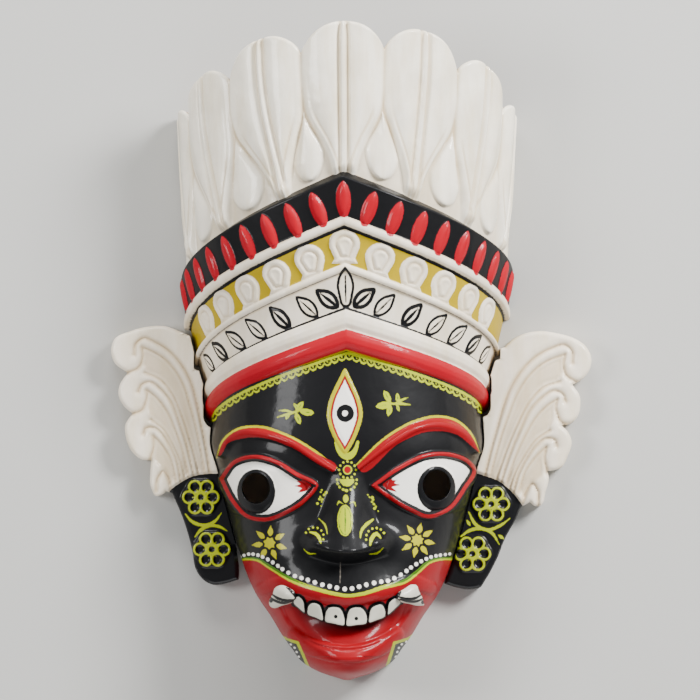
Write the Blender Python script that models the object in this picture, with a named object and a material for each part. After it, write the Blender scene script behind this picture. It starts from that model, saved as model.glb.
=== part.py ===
# Carved and painted wooden deity mask, lying on its back with the face up.
# X runs to the right as seen from the front, Y to the top of the crown and Z out of the face.
# The back rim lies on Z = 0 and the origin is under the middle of the outline.

import math

import bmesh
import bpy
import numpy as np
from mathutils import Vector

# Driving sizes, in metres
MASK_HEIGHT = 0.480
WALL = 0.014
MOUTH_DEPTH = 0.010
BOARD_THICKNESS = 0.016
JOINT_GAP = 0.0003
EYE_HOLE_WIDTH = 0.0204
EYE_HOLE_HEIGHT = 0.0226
PETAL_RISE = 0.0030
ARCH_RISE = 0.0026
BROW_RISE = 0.0048
RIM_RISE = 0.0034
PUPIL_RISE = 0.0036
LIP_RISE = 0.0036
STRAND_RISE = 0.0036
FLOWER_RISE = 0.0024
FLOWER_PIT = 0.0018

# The carving is laid out on a drawing that scales with the height.
# Drawing coordinates run right and down, and one drawing unit is UNIT metres.
CROWN_TIP_Y = 22.5
CHIN_Y = 681.0
CENTRE_LINE = 347.0
MID_LINE = 0.5 * (CROWN_TIP_Y + CHIN_Y)
UNIT = MASK_HEIGHT / (CHIN_Y - CROWN_TIP_Y)
SINK = 3.0
SPARE_BACK = 8.0
BACK_TRIM = 2.0
FLAT_RIDGE = ((-1.0, -1.0), (-0.5, 1.0), (0.5, 1.0), (1.0, -1.0))
SHARP_RIDGE = ((-1.0, -1.0), (0.0, 1.0), (1.0, -1.0))

# Crown, as a half drum: each row has its drawing height on the centre line,
# its fall for each degree round the drum, and its radius
LEFT_LEAN = 0.11
CROWN_TURN = -1.4
FEATHER_PITCH = 29.2
FEATHER_FOOT_PITCH = 22.6
FEATHER_COUNT = 7
TIP_FALL = 0.0124
TIP_DEPTH = 30.0
FEATHER_TOP_RADIUS = 165.0
FEATHER_TAPER = 7.0
FEATHER_BASE_RADIUS = FEATHER_TOP_RADIUS - FEATHER_TAPER
FEATHER_CROWN = 6.5
CROWN_COLUMN_FLARE = 0.93
BAND_ROWS = (
    (173.0, 1.07, 160.0),
    (177.0, 1.07, 168.0),
    (216.0, 1.06, 162.5),
    (218.0, 1.06, 164.5),
    (224.5, 1.06, 163.5),
    (226.0, 1.05, 157.5),
    (263.0, 0.98, 150.5),
    (265.0, 0.97, 154.0),
    (270.5, 0.95, 152.5),
    (272.0, 0.94, 148.5),
    (307.0, 0.80, 141.5),
    (312.0, 0.78, 144.5),
    (321.0, 0.76, 145.0),
    (328.0, 0.74, 141.0),
    (334.0, 0.73, 143.5),
    (343.0, 0.72, 143.5),
    (350.0, 0.71, 139.0),
    (351.0, 0.71, 132.0),
)
KEEL_RISE = 1.6
KEEL_ANGLE = 9.0
BAND_COLUMN_COUNT = 30
FEATHER_SINK_ROW = 190.0
ARC_PER_DEGREE = 2.75
MOTIF_LEAN = math.radians(18)
PETAL_COUNT = 19
PETAL_PITCH = 9.1
PETAL_ROW = 198.0
PETAL_HALF_LENGTH = 17.0
PETAL_HALF_WIDTH = 6.2
ARCH_COUNT = 11
ARCH_PITCH = 13.2
ARCH_ROW = 243.5
ARCH_RADIUS = 10.5
ARCH_HALF_WIDTH = 4.0

# Face: drawing height with half width, depth on the centre line and squareness
FACE_TOP_Y = 318.0
FACE_SIDE = (
    (318, 130), (425, 136.5), (447, 137), (465, 131.5), (503, 122), (551, 109), (575, 101),
    (595, 92), (620, 75.5), (636, 66), (650, 56), (667, 41), (675, 25), (680.8, 6),
)
FACE_DEPTH = (
    (318, 131), (354, 134), (412, 139), (452, 141), (502, 138), (560, 141), (590, 146),
    (620, 143), (650, 141), (665, 134), (675, 112), (680.8, 70),
)
FACE_SQUARENESS = ((318, 2.0), (425, 2.4), (480, 2.9), (560, 2.8), (620, 2.5), (681, 2.1))
PLAIN_SIDE = BOARD_THICKNESS / UNIT + 2 * BACK_TRIM
FACE_ROW_COUNT = 34
FACE_COLUMN_COUNT = 34

# Eyes, on the drawing
PUPIL_LEFT = (256.2, 490.0)
PUPIL_RIGHT = (436.5, 487.0)
EYE_HOLE_LEFT = (256.0, 488.0)
EYE_HOLE_RIGHT = (436.5, 485.0)
RIM_LEFT = ((225.5, 479), (234, 464), (251, 457), (279, 464), (298, 474), (316, 486), (305, 498),
            (287, 511), (265, 518), (247, 515), (233, 499))
RIM_RIGHT = ((373, 486), (400, 467), (428, 456), (451, 456), (465, 463), (468.5, 472), (461, 491),
             (449, 506), (428, 515), (410, 508), (388, 495))
BROW_LEFT = ((220, 454), (229, 439), (245, 433), (262, 434), (288, 441), (318, 460), (335, 470))
BROW_RIGHT = ((358, 468), (392, 442), (420, 427), (438, 425), (456, 430), (472, 442), (477, 451))
BROW_HALF_WIDTHS = (6.0, 8.0, 7.5, 6.5, 5.5, 5.5, 4.0)

# Mouth, on the drawing
LIP_EDGE = ((276, 603), (292, 596), (315, 601), (345, 607), (375, 601), (400, 596), (414, 602))
MOUTH_FLOOR_EDGE = ((276, 606), (286, 624), (307, 639), (344, 648), (381, 640), (401, 627), (414, 605))
LOWER_LIP = ((293, 634), (306, 646), (325, 653), (345, 655.5), (368, 653), (384, 646), (397, 634))
TOOTH_EDGES = (292.5, 306, 324.3, 345.5, 368, 386, 402.5)
TOOTH_BOTTOMS = (607, 618, 624.5, 624.5, 619, 609)
FANG_LEFT = ((298, 600), (289, 594), (280, 594), (272, 603))
FANG_RIGHT = ((394, 600), (404, 592), (414, 591), (424, 602))
FANG_RADII = (5.5, 9.0, 9.5, 4.0)

# Ear wings, on the drawing: outlines from notch to notch
WING_TOP_Y = 347.0
WALL_END_Y = 545.0
WING_LEFT = (
    ((195, 347), (191, 338), (178, 331), (164, 326), (150, 326), (129, 331), (112, 339),
     (109, 351), (112, 362), (126, 373)),
    ((126, 373), (118, 386), (117, 395), (123, 407), (131, 414)),
    ((131, 414), (124, 425), (125, 440), (132, 454), (140, 460), (150, 461)),
    ((150, 461), (149, 473), (150, 489), (155, 497), (162, 495), (166, 491)),
    ((171, 494), (182, 520), (191, 551), (195, 571), (201, 580), (211, 586), (225, 585), (238, 581)),
    ((238, 581), (238, 568), (236, 553)),
)
WING_RIGHT = (
    ((506, 347), (513, 340), (527, 333), (539, 331), (558, 333), (575, 338), (587, 346),
     (593, 359), (590, 372), (583, 380), (574, 385)),
    ((574, 385), (581, 396), (582, 405), (579, 417), (572, 424), (563, 426)),
    ((563, 426), (569, 432), (573, 442), (569, 457), (563, 468), (549, 472)),
    ((549, 472), (550, 480), (547, 492), (541, 507), (536, 507), (530, 502)),
    ((522, 508), (518, 518), (506, 540), (498, 560), (486, 582), (481, 589), (473, 591),
     (457, 589), (445, 585)),
    ((445, 585), (450, 570), (457, 553)),
)
# Raised strands of the left wing, each curling round its eye: path and half width
STRANDS = (
    (((135, 365), (121, 355), (123, 341), (145, 331), (170, 339), (187, 362), (195, 395), (200, 440)), 7.5),
    (((140, 364), (137, 352), (146, 343), (164, 353), (180, 374), (192, 412), (200, 455)), 3.6),
    (((136, 405), (125, 397), (128, 383), (145, 376), (163, 388), (176, 412), (190, 456)), 5.6),
    (((142, 406), (140, 392), (149, 386), (162, 399), (174, 424), (184, 452)), 3.2),
    (((144, 451), (132, 442), (135, 424), (152, 422), (166, 440), (180, 463)), 5.4),
    (((148, 452), (147, 436), (156, 434), (168, 451), (176, 466)), 2.8),
    (((156, 489), (158, 474), (168, 473), (176, 480)), 4.2),
)
CURL_EYES_LEFT = ((141.4, 347.0), (151.6, 436.4))
CURL_EYES_RIGHT = ((565.8, 354.5), (547.6, 448.0))
FLOWERS_LEFT = ((199, 499), (211, 551))
FLOWERS_RIGHT = ((492, 506), (473, 555))
FLOWER_RADIUS = 17.0
FLOWER_PETALS = 6


def smooth(knots, place):
    """Read a smooth curve through (place, value) knots."""
    places, values = np.array(knots, dtype=float).T
    slopes = np.gradient(values, places)
    place = np.clip(place, places[0], places[-1])
    i = np.clip(np.searchsorted(places, place, side="right") - 1, 0, len(places) - 2)
    step = places[i + 1] - places[i]
    s = (place - places[i]) / step
    start = (1 + 2 * s) * (1 - s) ** 2 * values[i] + s * (1 - s) ** 2 * step * slopes[i]
    return start + s * s * (3 - 2 * s) * values[i + 1] + s * s * (s - 1) * step * slopes[i + 1]


def smooth_path(points, count, closed=False):
    """Even samples of a smooth curve through drawing points."""
    points = np.array(points, dtype=float)
    if closed:
        points = np.vstack((points, points[:1]))
    lengths = np.concatenate(([0], np.cumsum(np.linalg.norm(np.diff(points, axis=0), axis=1))))
    where = np.linspace(0, lengths[-1], count + 1 if closed else count)
    path = np.column_stack([smooth(np.column_stack((lengths, points[:, k])), where) for k in (0, 1)])
    return path[:-1] if closed else path


def outline_centre():
    """Drawing x of the middle of the whole outline."""
    left = min(x for run in WING_LEFT for x, y in run)
    right = max(x for run in WING_RIGHT for x, y in run)
    return 0.5 * (left + right)


def to_metres(x, y, depth):
    """A point in metres from drawing x and y and a depth in drawing units.

    The carved forms start BACK_TRIM behind the rim's plane, where the back is cut flat.
    """
    return np.stack((
        (x - outline_centre()) * UNIT,
        (MID_LINE - y) * UNIT,
        (depth - BACK_TRIM) * UNIT,
    ), axis=-1)


# Crown


def crown_fall(angle, fall):
    """Drawing distance that a row drops at an angle round the drum."""
    return np.where(angle < 0, fall + LEFT_LEAN, fall) * np.abs(angle)


def crown_point(angle, y, radius):
    """A point on the drum at drawing height y."""
    turn = np.radians(angle)
    return to_metres(CENTRE_LINE + radius * np.sin(turn), y, radius * np.cos(turn))


def crown_turn(angle):
    """Turn of the feathers' middle away from the face's, fading out at the sides."""
    return CROWN_TURN * (1 - (angle / 90) ** 2)


def feather_tops(angle):
    """Drawing height of the scalloped top edge, by the angle from the middle feather."""
    place = angle / FEATHER_PITCH
    from_rib = np.clip(2 * np.abs(place - np.round(place)), 0, 1)
    dip = TIP_DEPTH * (1 - (1 - from_rib ** 2.3) ** 0.75)
    lean = np.where(angle < 0, LEFT_LEAN, 0) * np.abs(angle)
    return CROWN_TIP_Y + TIP_FALL * angle ** 2 + lean + dip


def feather_ring(down):
    """One row across the feathers, from 0 at their tips to 1 at the black band."""
    pitch = np.interp(down, (0, 0.25, 0.55, 1), (FEATHER_PITCH, FEATHER_PITCH, 27.6, FEATHER_FOOT_PITCH))
    spread = CROWN_COLUMN_FLARE * np.interp(down, (0, 0.5, 0.6, 0.75, 0.92, 1), (1, 1, 0.9, 0.66, 0.42, 0.33))
    bulge = np.interp(down, (0, 0.06, 0.2, 1), (0.35, 0.85, 1, 0.75))
    leaf = np.interp(down, (0, 0.5, 0.62, 0.85, 1), (0, 0, 0.55, 0.8, 0.6))
    reads = (
        (-1.0, leaf), (-spread, 0.1), (-0.56 * spread, 0.85 * bulge), (-0.15 * spread, 0.62 * bulge),
        (0.0, 1.12 * bulge), (0.15 * spread, 0.62 * bulge), (0.56 * spread, 0.85 * bulge), (spread, 0.1),
    )
    half = FEATHER_COUNT // 2
    angles, rises = [-90.0], [0.5]
    for feather in range(-half, half + 1):
        first = 4 if feather == -half else 0
        last = 5 if feather == half else len(reads)
        for place, rise in reads[first:last]:
            angles.append((feather + 0.5 * place) * pitch)
            rises.append(rise)
    angles, rises = np.array(angles + [90.0]), np.array(rises + [0.5])
    tops = feather_tops(angles)
    base = BAND_ROWS[0][0] + crown_fall(angles, BAND_ROWS[0][1])
    y = tops + (base - tops) * down
    radius = FEATHER_TOP_RADIUS - FEATHER_TAPER * down
    return angles + crown_turn(angles), y, radius + FEATHER_CROWN * rises


def keel(angle):
    """Slight ridge down the front of the bands."""
    return KEEL_RISE * np.clip(1 - np.abs(angle) / KEEL_ANGLE, 0, 1)


def band_surface(arc, y, rise):
    """A point on the bands, from the arc round them and the drawing height."""
    rows, falls, radii = np.array(BAND_ROWS).T
    angle = arc / ARC_PER_DEGREE
    row = y
    for _ in range(4):
        row = y - crown_fall(angle, np.interp(row, rows, falls))
    return crown_point(angle, y, np.interp(row, rows, radii) + keel(angle) + rise)


def band_motif(angle, row, points):
    """Points of a motif set on a band, leaning outward from the middle."""
    rows, falls, _ = np.array(BAND_ROWS).T
    lean = MOTIF_LEAN * np.sign(angle)
    across, down = np.array(points, dtype=float).T
    x = angle * ARC_PER_DEGREE + across * math.cos(lean) - down * math.sin(lean)
    y = row + crown_fall(angle, np.interp(row, rows, falls)) + across * math.sin(lean) + down * math.cos(lean)
    return np.column_stack((x, y))


def backed(ring, depth):
    """A ring with two more points straight behind its ends, to be cut off flat later."""
    back = ring[[-1, 0]]
    back[:, 2] = -depth * UNIT
    return np.vstack((ring, back))


def feather_rings():
    """Rows of points down the feathers, from their tips to behind the black band."""
    rings = []
    for down in (0.0, 0.05, 0.15, 0.35, 0.55, 0.7, 0.86, 1.0):
        angles, y, radius = feather_ring(down)
        rings.append(crown_point(angles, y, radius))
    y = FEATHER_SINK_ROW + crown_fall(angles, BAND_ROWS[0][1])
    rings.append(crown_point(angles, y, FEATHER_BASE_RADIUS - SINK))
    return [backed(ring, SPARE_BACK) for ring in rings]


def band_rings():
    """Rows of points down the bands."""
    angles = np.linspace(-90, 90, BAND_COLUMN_COUNT + 1)
    rings = []
    for row, fall, radius in BAND_ROWS:
        rings.append(crown_point(angles, row + crown_fall(angles, fall), radius + keel(angles)))
    return [backed(ring, 1.5 * SPARE_BACK) for ring in rings]


# Face


def face_base(x, y):
    """Depth of the plain face form under a drawing point."""
    half, depth, power = (smooth(knots, y) for knots in (FACE_SIDE, FACE_DEPTH, FACE_SQUARENESS))
    across = np.clip(np.abs(x - CENTRE_LINE) / half, 0, 1)
    return depth * (1 - across ** power) ** (1 / power)


def face_normal(x, y, z):
    """Outward direction of the plain face form, in drawing axes."""
    def level(px, py, pz):
        half, depth, power = (smooth(knots, py) for knots in (FACE_SIDE, FACE_DEPTH, FACE_SQUARENESS))
        return (np.abs(px - CENTRE_LINE) / half) ** power + (np.abs(pz) / depth) ** power
    step = 0.5
    slope = np.stack((
        level(x + step, y, z) - level(x - step, y, z),
        level(x, y + step, z) - level(x, y - step, z),
        level(x, y, z + step) - level(x, y, np.maximum(z - step, 0)),
    ), axis=-1)
    slope[..., 1] = np.where(y > 655, 0, slope[..., 1])
    return slope / np.linalg.norm(slope, axis=-1, keepdims=True)


def hill(x, y, centre, spread):
    """A round hill of height 1."""
    return np.exp(-((x - centre[0]) / spread[0]) ** 2 - ((y - centre[1]) / spread[1]) ** 2)


def nose(x, y):
    """How far the nose and the lips stand out, straight forward."""
    off = np.abs(x - CENTRE_LINE)
    down = np.clip((y - 458) / (551 - 458), 0, 1)
    under = np.clip((y - 551) / (569 - 551), 0, 1)
    half = 13 + 37 * down ** 1.5
    across = np.cos(0.5 * math.pi * np.clip(off / half, 0, 1)) ** 1.3
    ridge = 36 * down ** 1.25 * across * (1 - under ** 1.6)
    nostril = 15 * hill(off, y, (31, 543), (12, 12))
    muzzle = 8 * hill(off, y, (0, 588), (62, 20))
    chin = 5 * hill(off, y, (0, 668), (30, 10))
    return ridge + nostril + muzzle + chin


def modelling(x, y):
    """Low forms that rise square to the face: sockets, eyeballs and cheeks."""
    rise = 4.5 * hill(np.abs(x - CENTRE_LINE), y, (68, 556), (26, 22))
    for pupil in (PUPIL_LEFT, PUPIL_RIGHT):
        rise = rise - 6 * hill(x, y, pupil, (50, 27))
        ball = 1 - ((x - pupil[0]) / 50) ** 2 - ((y - pupil[1]) / 28) ** 2
        rise = rise + 6 * np.sqrt(np.clip(ball, 0, 1))
    return rise


def face_surface(x, y, rise):
    """A point on the carved face, raised square to the plain form."""
    x, y = np.asarray(x, dtype=float), np.asarray(y, dtype=float)
    z = face_base(x, y)
    out = face_normal(x, y, z) * np.expand_dims(modelling(x, y) + rise, -1)
    carved = np.clip((z - PLAIN_SIDE) / PLAIN_SIDE, 0, 1)
    return to_metres(x + out[..., 0] * carved, y + out[..., 1] * carved,
                     z + (out[..., 2] + nose(x, y)) * carved)


def face_rows():
    """Drawing heights of the rows down the face."""
    even = np.linspace(0, 1, FACE_ROW_COUNT)
    return FACE_TOP_Y + (FACE_SIDE[-1][0] - FACE_TOP_Y) * (1.19 * even - 0.19 * even ** 6)


def face_rings():
    """Rows of points down the face, closed along the back."""
    turn = np.linspace(-0.5 * math.pi, 0.5 * math.pi, FACE_COLUMN_COUNT + 1)
    rings = []
    for y in face_rows():
        x = CENTRE_LINE + smooth(FACE_SIDE, y) * np.sin(turn)
        rings.append(backed(face_surface(x, np.full_like(x, y), np.zeros_like(x)), 2 * SPARE_BACK))
    return rings


# Solids


def loft(shape, rings, closed=False):
    """Add a closed skin through rings of points, its ends closed by fans."""
    loops = [[shape.verts.new(point) for point in ring] for ring in rings]
    pairs = list(zip(loops, loops[1:]))
    if closed:
        pairs.append((loops[-1], loops[0]))
    count = len(loops[0])
    for low, high in pairs:
        for i in range(count):
            j = (i + 1) % count
            shape.faces.new((low[i], low[j], high[j], high[i]))
    if closed:
        return
    for loop in (loops[0], loops[-1]):
        centre = shape.verts.new(sum((v.co for v in loop), Vector()) / count)
        for i in range(count):
            shape.faces.new((loop[i], loop[(i + 1) % count], centre))


def sideways(path, closed=False):
    """Unit directions across a path."""
    if closed:
        along = np.roll(path, -1, axis=0) - np.roll(path, 1, axis=0)
    else:
        along = np.gradient(path, axis=0)
    along /= np.linalg.norm(along, axis=1, keepdims=True)
    return np.column_stack((along[:, 1], -along[:, 0]))


def strip(shape, surface, path, half_widths, rise, closed=False, section=FLAT_RIDGE):
    """Add a raised strip that follows a path on a surface."""
    across = sideways(path, closed)
    section = [(place, rise if up > 0 else -SINK) for place, up in section]
    rings = []
    for point, side, half in zip(path, across, np.broadcast_to(half_widths, len(path))):
        rings.append([
            surface(*(point + side * half * place), np.array(height)) for place, height in section
        ])
    loft(shape, rings, closed)


def new_shape(name, shape, collection, material=None):
    """Put a finished shape in a collection as an object."""
    bmesh.ops.recalc_face_normals(shape, faces=shape.faces)
    mesh = bpy.data.meshes.new(name)
    shape.to_mesh(mesh)
    shape.free()
    obj = bpy.data.objects.new(name, mesh)
    collection.objects.link(obj)
    if material is None:
        obj.hide_render = True
        obj.display_type = "WIRE"
    else:
        mesh.materials.append(material)
    return obj


def cut(obj, other, operation):
    """Join another object to this one or take it away."""
    boolean = obj.modifiers.new(other.name, "BOOLEAN")
    boolean.operation = operation
    boolean.solver = "EXACT"
    boolean.object = other


def paint(name, colour, roughness):
    """Painted and varnished wood of one main colour."""
    material = bpy.data.materials.new(name)
    material.use_nodes = True
    shader = material.node_tree.nodes["Principled BSDF"]
    shader.inputs["Base Color"].default_value = (*colour, 1)
    shader.inputs["Roughness"].default_value = roughness
    shader.inputs["Metallic"].default_value = 0.0
    return material


# Carved forms on the crown


def petals(collection):
    """Red petals on the black band."""
    shape = bmesh.new()
    half = PETAL_COUNT // 2
    rise = PETAL_RISE / UNIT
    turns = [math.radians(a) for a in range(0, 360, 60)]
    for i in range(-half, half + 1):
        rings = []
        for scale, height in ((1.0, -SINK), (1.0, 0.3 * rise), (0.45, rise)):
            points = [(scale * PETAL_HALF_WIDTH * math.sin(a), scale * PETAL_HALF_LENGTH * math.cos(a))
                      for a in turns]
            ring = band_motif(i * PETAL_PITCH, PETAL_ROW, points)
            rings.append([band_surface(x, y, np.array(height)) for x, y in ring])
        loft(shape, rings)
    return new_shape("petal_forms", shape, collection)


def arches(collection):
    """Horseshoe arches on the yellow band."""
    shape = bmesh.new()
    half = ARCH_COUNT // 2
    rise = ARCH_RISE / UNIT
    bends = [math.radians(a) for a in range(215, -36, -50)]
    foot = (0.7 * ARCH_RADIUS, 15.0)
    points = [(ARCH_RADIUS * math.cos(a), -ARCH_RADIUS * math.sin(a)) for a in bends]
    points = [(-foot[0], foot[1]), *points, foot]
    for i in range(-half, half + 1):
        path = band_motif(i * ARCH_PITCH, ARCH_ROW, points)
        strip(shape, band_surface, path, ARCH_HALF_WIDTH, rise, section=SHARP_RIDGE)
    return new_shape("arch_forms", shape, collection)


# Carved forms on the face


def brows_and_lip(collection):
    """Both brows and the ridge of the lower lip."""
    shape = bmesh.new()
    for brow, widths in ((BROW_LEFT, BROW_HALF_WIDTHS), (BROW_RIGHT, BROW_HALF_WIDTHS[::-1])):
        strip(shape, face_surface, smooth_path(brow, len(widths)), widths, BROW_RISE / UNIT)
    strip(shape, face_surface, smooth_path(LOWER_LIP, 8), 6.5, LIP_RISE / UNIT)
    return new_shape("brow_and_lip_forms", shape, collection)


def eye_rims(collection):
    """The raised rim round each eye."""
    shape = bmesh.new()
    for rim in (RIM_LEFT, RIM_RIGHT):
        strip(shape, face_surface, smooth_path(rim, 14, closed=True), 4.4, RIM_RISE / UNIT, closed=True,
              section=SHARP_RIDGE)
    return new_shape("eye_rim_forms", shape, collection)


def pupil_rings(collection):
    """The raised ring round each eye hole."""
    shape = bmesh.new()
    for pupil in (PUPIL_LEFT, PUPIL_RIGHT):
        ring = [(pupil[0] + 16.2 * math.cos(a), pupil[1] + 18.4 * math.sin(a))
                for a in np.linspace(0, 2 * math.pi, 12, endpoint=False)]
        strip(shape, face_surface, np.array(ring), 4.2, PUPIL_RISE / UNIT, closed=True,
              section=SHARP_RIDGE)
    return new_shape("pupil_forms", shape, collection)


def mouth_floor(x, y):
    """Depth of the mouth's floor."""
    return face_base(x, y) + nose(x, y) - MOUTH_DEPTH / UNIT


def mouth(collection):
    """The open mouth, as deep as MOUTH_DEPTH."""
    shape = bmesh.new()
    outside = 260.0
    upper = smooth_path(LIP_EDGE, 14)
    lower = smooth_path(MOUTH_FLOOR_EDGE, 14)
    rings = []
    for (x, top), (low_x, bottom) in zip(upper, lower):
        x = 0.5 * (x + low_x)
        floor = mouth_floor(x, 0.5 * (top + bottom))
        corners = ((top, floor), (bottom, floor), (bottom, outside), (top, outside))
        rings.append([to_metres(x, y, depth) for y, depth in corners])
    loft(shape, rings)
    return new_shape("mouth_cut", shape, collection)


def teeth(collection):
    """Six teeth under the upper lip."""
    shape = bmesh.new()
    corner = 2.5
    for left, right, bottom in zip(TOOTH_EDGES, TOOTH_EDGES[1:], TOOTH_BOTTOMS):
        x, half = 0.5 * (left + right), 0.5 * (right - left) - 0.5
        top = float(smooth(LIP_EDGE, x)) - 5
        back = mouth_floor(x, 618.0) - SINK
        front = face_base(x, 606.0) + nose(x, 606.0) - 2
        rings = []
        for inset, depth in ((0, back), (0, front - 4), (2.5, front)):
            w = half - inset
            low = bottom - inset
            outline = ((-w, top), (w, top), (w, low - corner), (w - corner, low),
                       (corner - w, low), (-w, low - corner))
            rings.append([to_metres(x + u, y, depth) for u, y in outline])
        loft(shape, rings)
    return new_shape("tooth_forms", shape, collection)


def fangs(collection):
    """A fang out of each corner of the mouth."""
    shape = bmesh.new()
    for path in (FANG_LEFT, FANG_RIGHT):
        points = smooth_path(path, 6)
        radii = np.interp(np.linspace(0, 1, 6), np.linspace(0, 1, 4), FANG_RADII)
        across = sideways(points)
        rings = []
        for point, side, radius in zip(points, across, radii):
            rings.append([
                face_surface(*(point + side * radius * math.cos(a)), np.array(1.5 + radius * math.sin(a)))
                for a in np.linspace(0, 2 * math.pi, 7, endpoint=False)
            ])
        loft(shape, rings)
    return new_shape("fang_forms", shape, collection)


def eye_holes(collection):
    """Holes straight through the pupils."""
    shape = bmesh.new()
    for hole in (EYE_HOLE_LEFT, EYE_HOLE_RIGHT):
        x, y, z = to_metres(*hole, 0.0)
        made = bmesh.ops.create_cone(shape, cap_ends=True, segments=18, radius1=0.5, radius2=0.5, depth=0.5)
        bmesh.ops.scale(shape, vec=(EYE_HOLE_WIDTH, EYE_HOLE_HEIGHT, 1), verts=made["verts"])
        bmesh.ops.translate(shape, vec=(x, y, z), verts=made["verts"])
    return new_shape("eye_hole_cut", shape, collection)


def hollow(collection):
    """The smooth hollow behind, open at the back and at the top of the crown."""
    shape = bmesh.new()
    wall = WALL / UNIT
    crown_sides = ((0, 164), (150, 163), (270, 159), (312, 154), (345, 147), (378, 138.5), (400, 136))
    crown_depths = ((0, 163), (120, 161), (173, 158), (218, 156), (263, 148), (307, 139), (335, 134))
    sides = crown_sides + FACE_SIDE[1:]
    depths = crown_depths + FACE_DEPTH[1:]
    end = CHIN_Y - 1.05 * wall
    turn = np.linspace(-0.5 * math.pi, 0.5 * math.pi, 15)
    rings = []
    for y in np.linspace(0, end, 16):
        half = float(smooth(sides, y)) - wall
        room = MOUTH_DEPTH / UNIT * float(hill(0.0, y, (0, 620), (1, 42)))
        depth = float(smooth(depths, y)) - wall - room
        power = float(smooth(FACE_SQUARENESS, y))
        x = half * np.sin(turn)
        z = depth * (1 - np.abs(np.sin(turn)) ** power) ** (1 / power)
        rings.append(backed(to_metres(CENTRE_LINE + x, np.full_like(x, y), z), 4 * SPARE_BACK))
    loft(shape, rings)
    return new_shape("hollow_cut", shape, collection)


def back_plane(collection):
    """Everything behind the rim's plane."""
    shape = bmesh.new()
    bmesh.ops.create_cube(shape, size=1.0)
    bmesh.ops.scale(shape, vec=(2 * MASK_HEIGHT, 2 * MASK_HEIGHT, MASK_HEIGHT), verts=shape.verts)
    bmesh.ops.translate(shape, vec=(0, 0, -0.5 * MASK_HEIGHT), verts=shape.verts)
    return new_shape("back_cut", shape, collection)


def mask_body(parts, cutters):
    """Crown and face, carved from one piece."""
    forms = {}
    for name, rings in (("feathers", feather_rings()), ("bands", band_rings()), ("face", face_rings())):
        forms[name] = bmesh.new()
        loft(forms[name], rings)
    body = new_shape("mask_body", forms["face"], parts, paint("mask_paint", (0.72, 0.66, 0.53), 0.32))
    cut(body, new_shape("band_form", forms["bands"], cutters), "UNION")
    cut(body, new_shape("feather_form", forms["feathers"], cutters), "UNION")
    cut(body, hollow(cutters), "DIFFERENCE")
    cut(body, petals(cutters), "UNION")
    cut(body, arches(cutters), "UNION")
    cut(body, brows_and_lip(cutters), "UNION")
    cut(body, eye_rims(cutters), "UNION")
    cut(body, pupil_rings(cutters), "UNION")
    cut(body, mouth(cutters), "DIFFERENCE")
    cut(body, teeth(cutters), "UNION")
    cut(body, fangs(cutters), "UNION")
    cut(body, back_plane(cutters), "DIFFERENCE")
    cut(body, eye_holes(cutters), "DIFFERENCE")
    return body


# Ear wings


def side_reach(y, side):
    """How far the body reaches sideways at a drawing height, within a board's thickness."""
    rows, falls, radii = np.array(BAND_ROWS[:-1]).T
    lean = LEFT_LEAN if side < 0 else 0.0
    reach = float(smooth(FACE_SIDE, y))
    for angle in np.linspace(80, 90, 6):
        heights = rows + (falls + lean) * angle
        for nudge in (-4.0, -2.0, 0.0, 2.0, 4.0):
            if heights[0] <= y + nudge <= heights[-1]:
                radius = np.interp(y + nudge, heights, radii)
                reach = max(reach, float(radius) * math.sin(math.radians(angle)))
    return reach


def board_outline(runs, side):
    """The outline of one board, its inner edge fitted to the body."""
    points = []
    for run in runs:
        count = 4 if run is runs[-1] else len(run) + 3
        points.extend(smooth_path(run, count)[:-1])
    points.append(np.array(runs[-1][-1], dtype=float))
    gap = JOINT_GAP / UNIT
    heights = [y for y in face_rows() if 428 < y < WALL_END_Y]
    heights += list(np.arange(WING_TOP_Y, 428, 4.0))
    for y in sorted(heights, reverse=True):
        points.append(np.array((CENTRE_LINE + side * (side_reach(y, side) + gap), y)))
    clear = []
    for x, y in points[:-1]:
        limit = CENTRE_LINE + side * (side_reach(y, side) + gap)
        if WING_TOP_Y - 30 < y:
            x = max(x, limit) if side > 0 else min(x, limit)
        clear.append((x, y))
    return clear


def board_solid(name, outline, collection, material):
    """A flat board with its back on the rim's plane, from its outline."""
    curve = bpy.data.curves.new(name + "_outline", "CURVE")
    curve.dimensions = "2D"
    curve.fill_mode = "BOTH"
    curve.extrude = 0.5 * BOARD_THICKNESS
    spline = curve.splines.new("POLY")
    spline.points.add(len(outline) - 1)
    for point, (x, y) in zip(spline.points, outline):
        place = to_metres(x, y, 0.0)
        point.co = (place[0], place[1], 0, 1)
    spline.use_cyclic_u = True
    flat = bpy.data.objects.new(name + "_outline", curve)
    flat.location.z = 0.5 * BOARD_THICKNESS
    collection.objects.link(flat)
    bpy.context.view_layer.update()
    mesh = bpy.data.meshes.new_from_object(flat.evaluated_get(bpy.context.evaluated_depsgraph_get()))
    shape = bmesh.new()
    shape.from_mesh(mesh)
    bmesh.ops.remove_doubles(shape, verts=shape.verts, dist=0.00002)
    bmesh.ops.dissolve_limit(shape, angle_limit=0.001, verts=shape.verts, edges=shape.edges)
    bmesh.ops.translate(shape, vec=(0, 0, 0.5 * BOARD_THICKNESS), verts=shape.verts)
    bpy.data.objects.remove(flat)
    return new_shape(name, shape, collection, material)


def board_surface(x, y, rise):
    """A point over a board's carved face."""
    return to_metres(x, y, BACK_TRIM + BOARD_THICKNESS / UNIT + rise)


def to_right_wing(points):
    """Carry drawing points from the left wing over to the right one by its curl eyes."""
    low, high = (complex(-x, y) for x, y in CURL_EYES_LEFT)
    new_low, new_high = (complex(x, y) for x, y in CURL_EYES_RIGHT)
    turn = (new_high - new_low) / (high - low)
    moved = [new_low + turn * (complex(-x, y) - low) for x, y in points]
    return [(p.real, p.imag) for p in moved]


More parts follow.
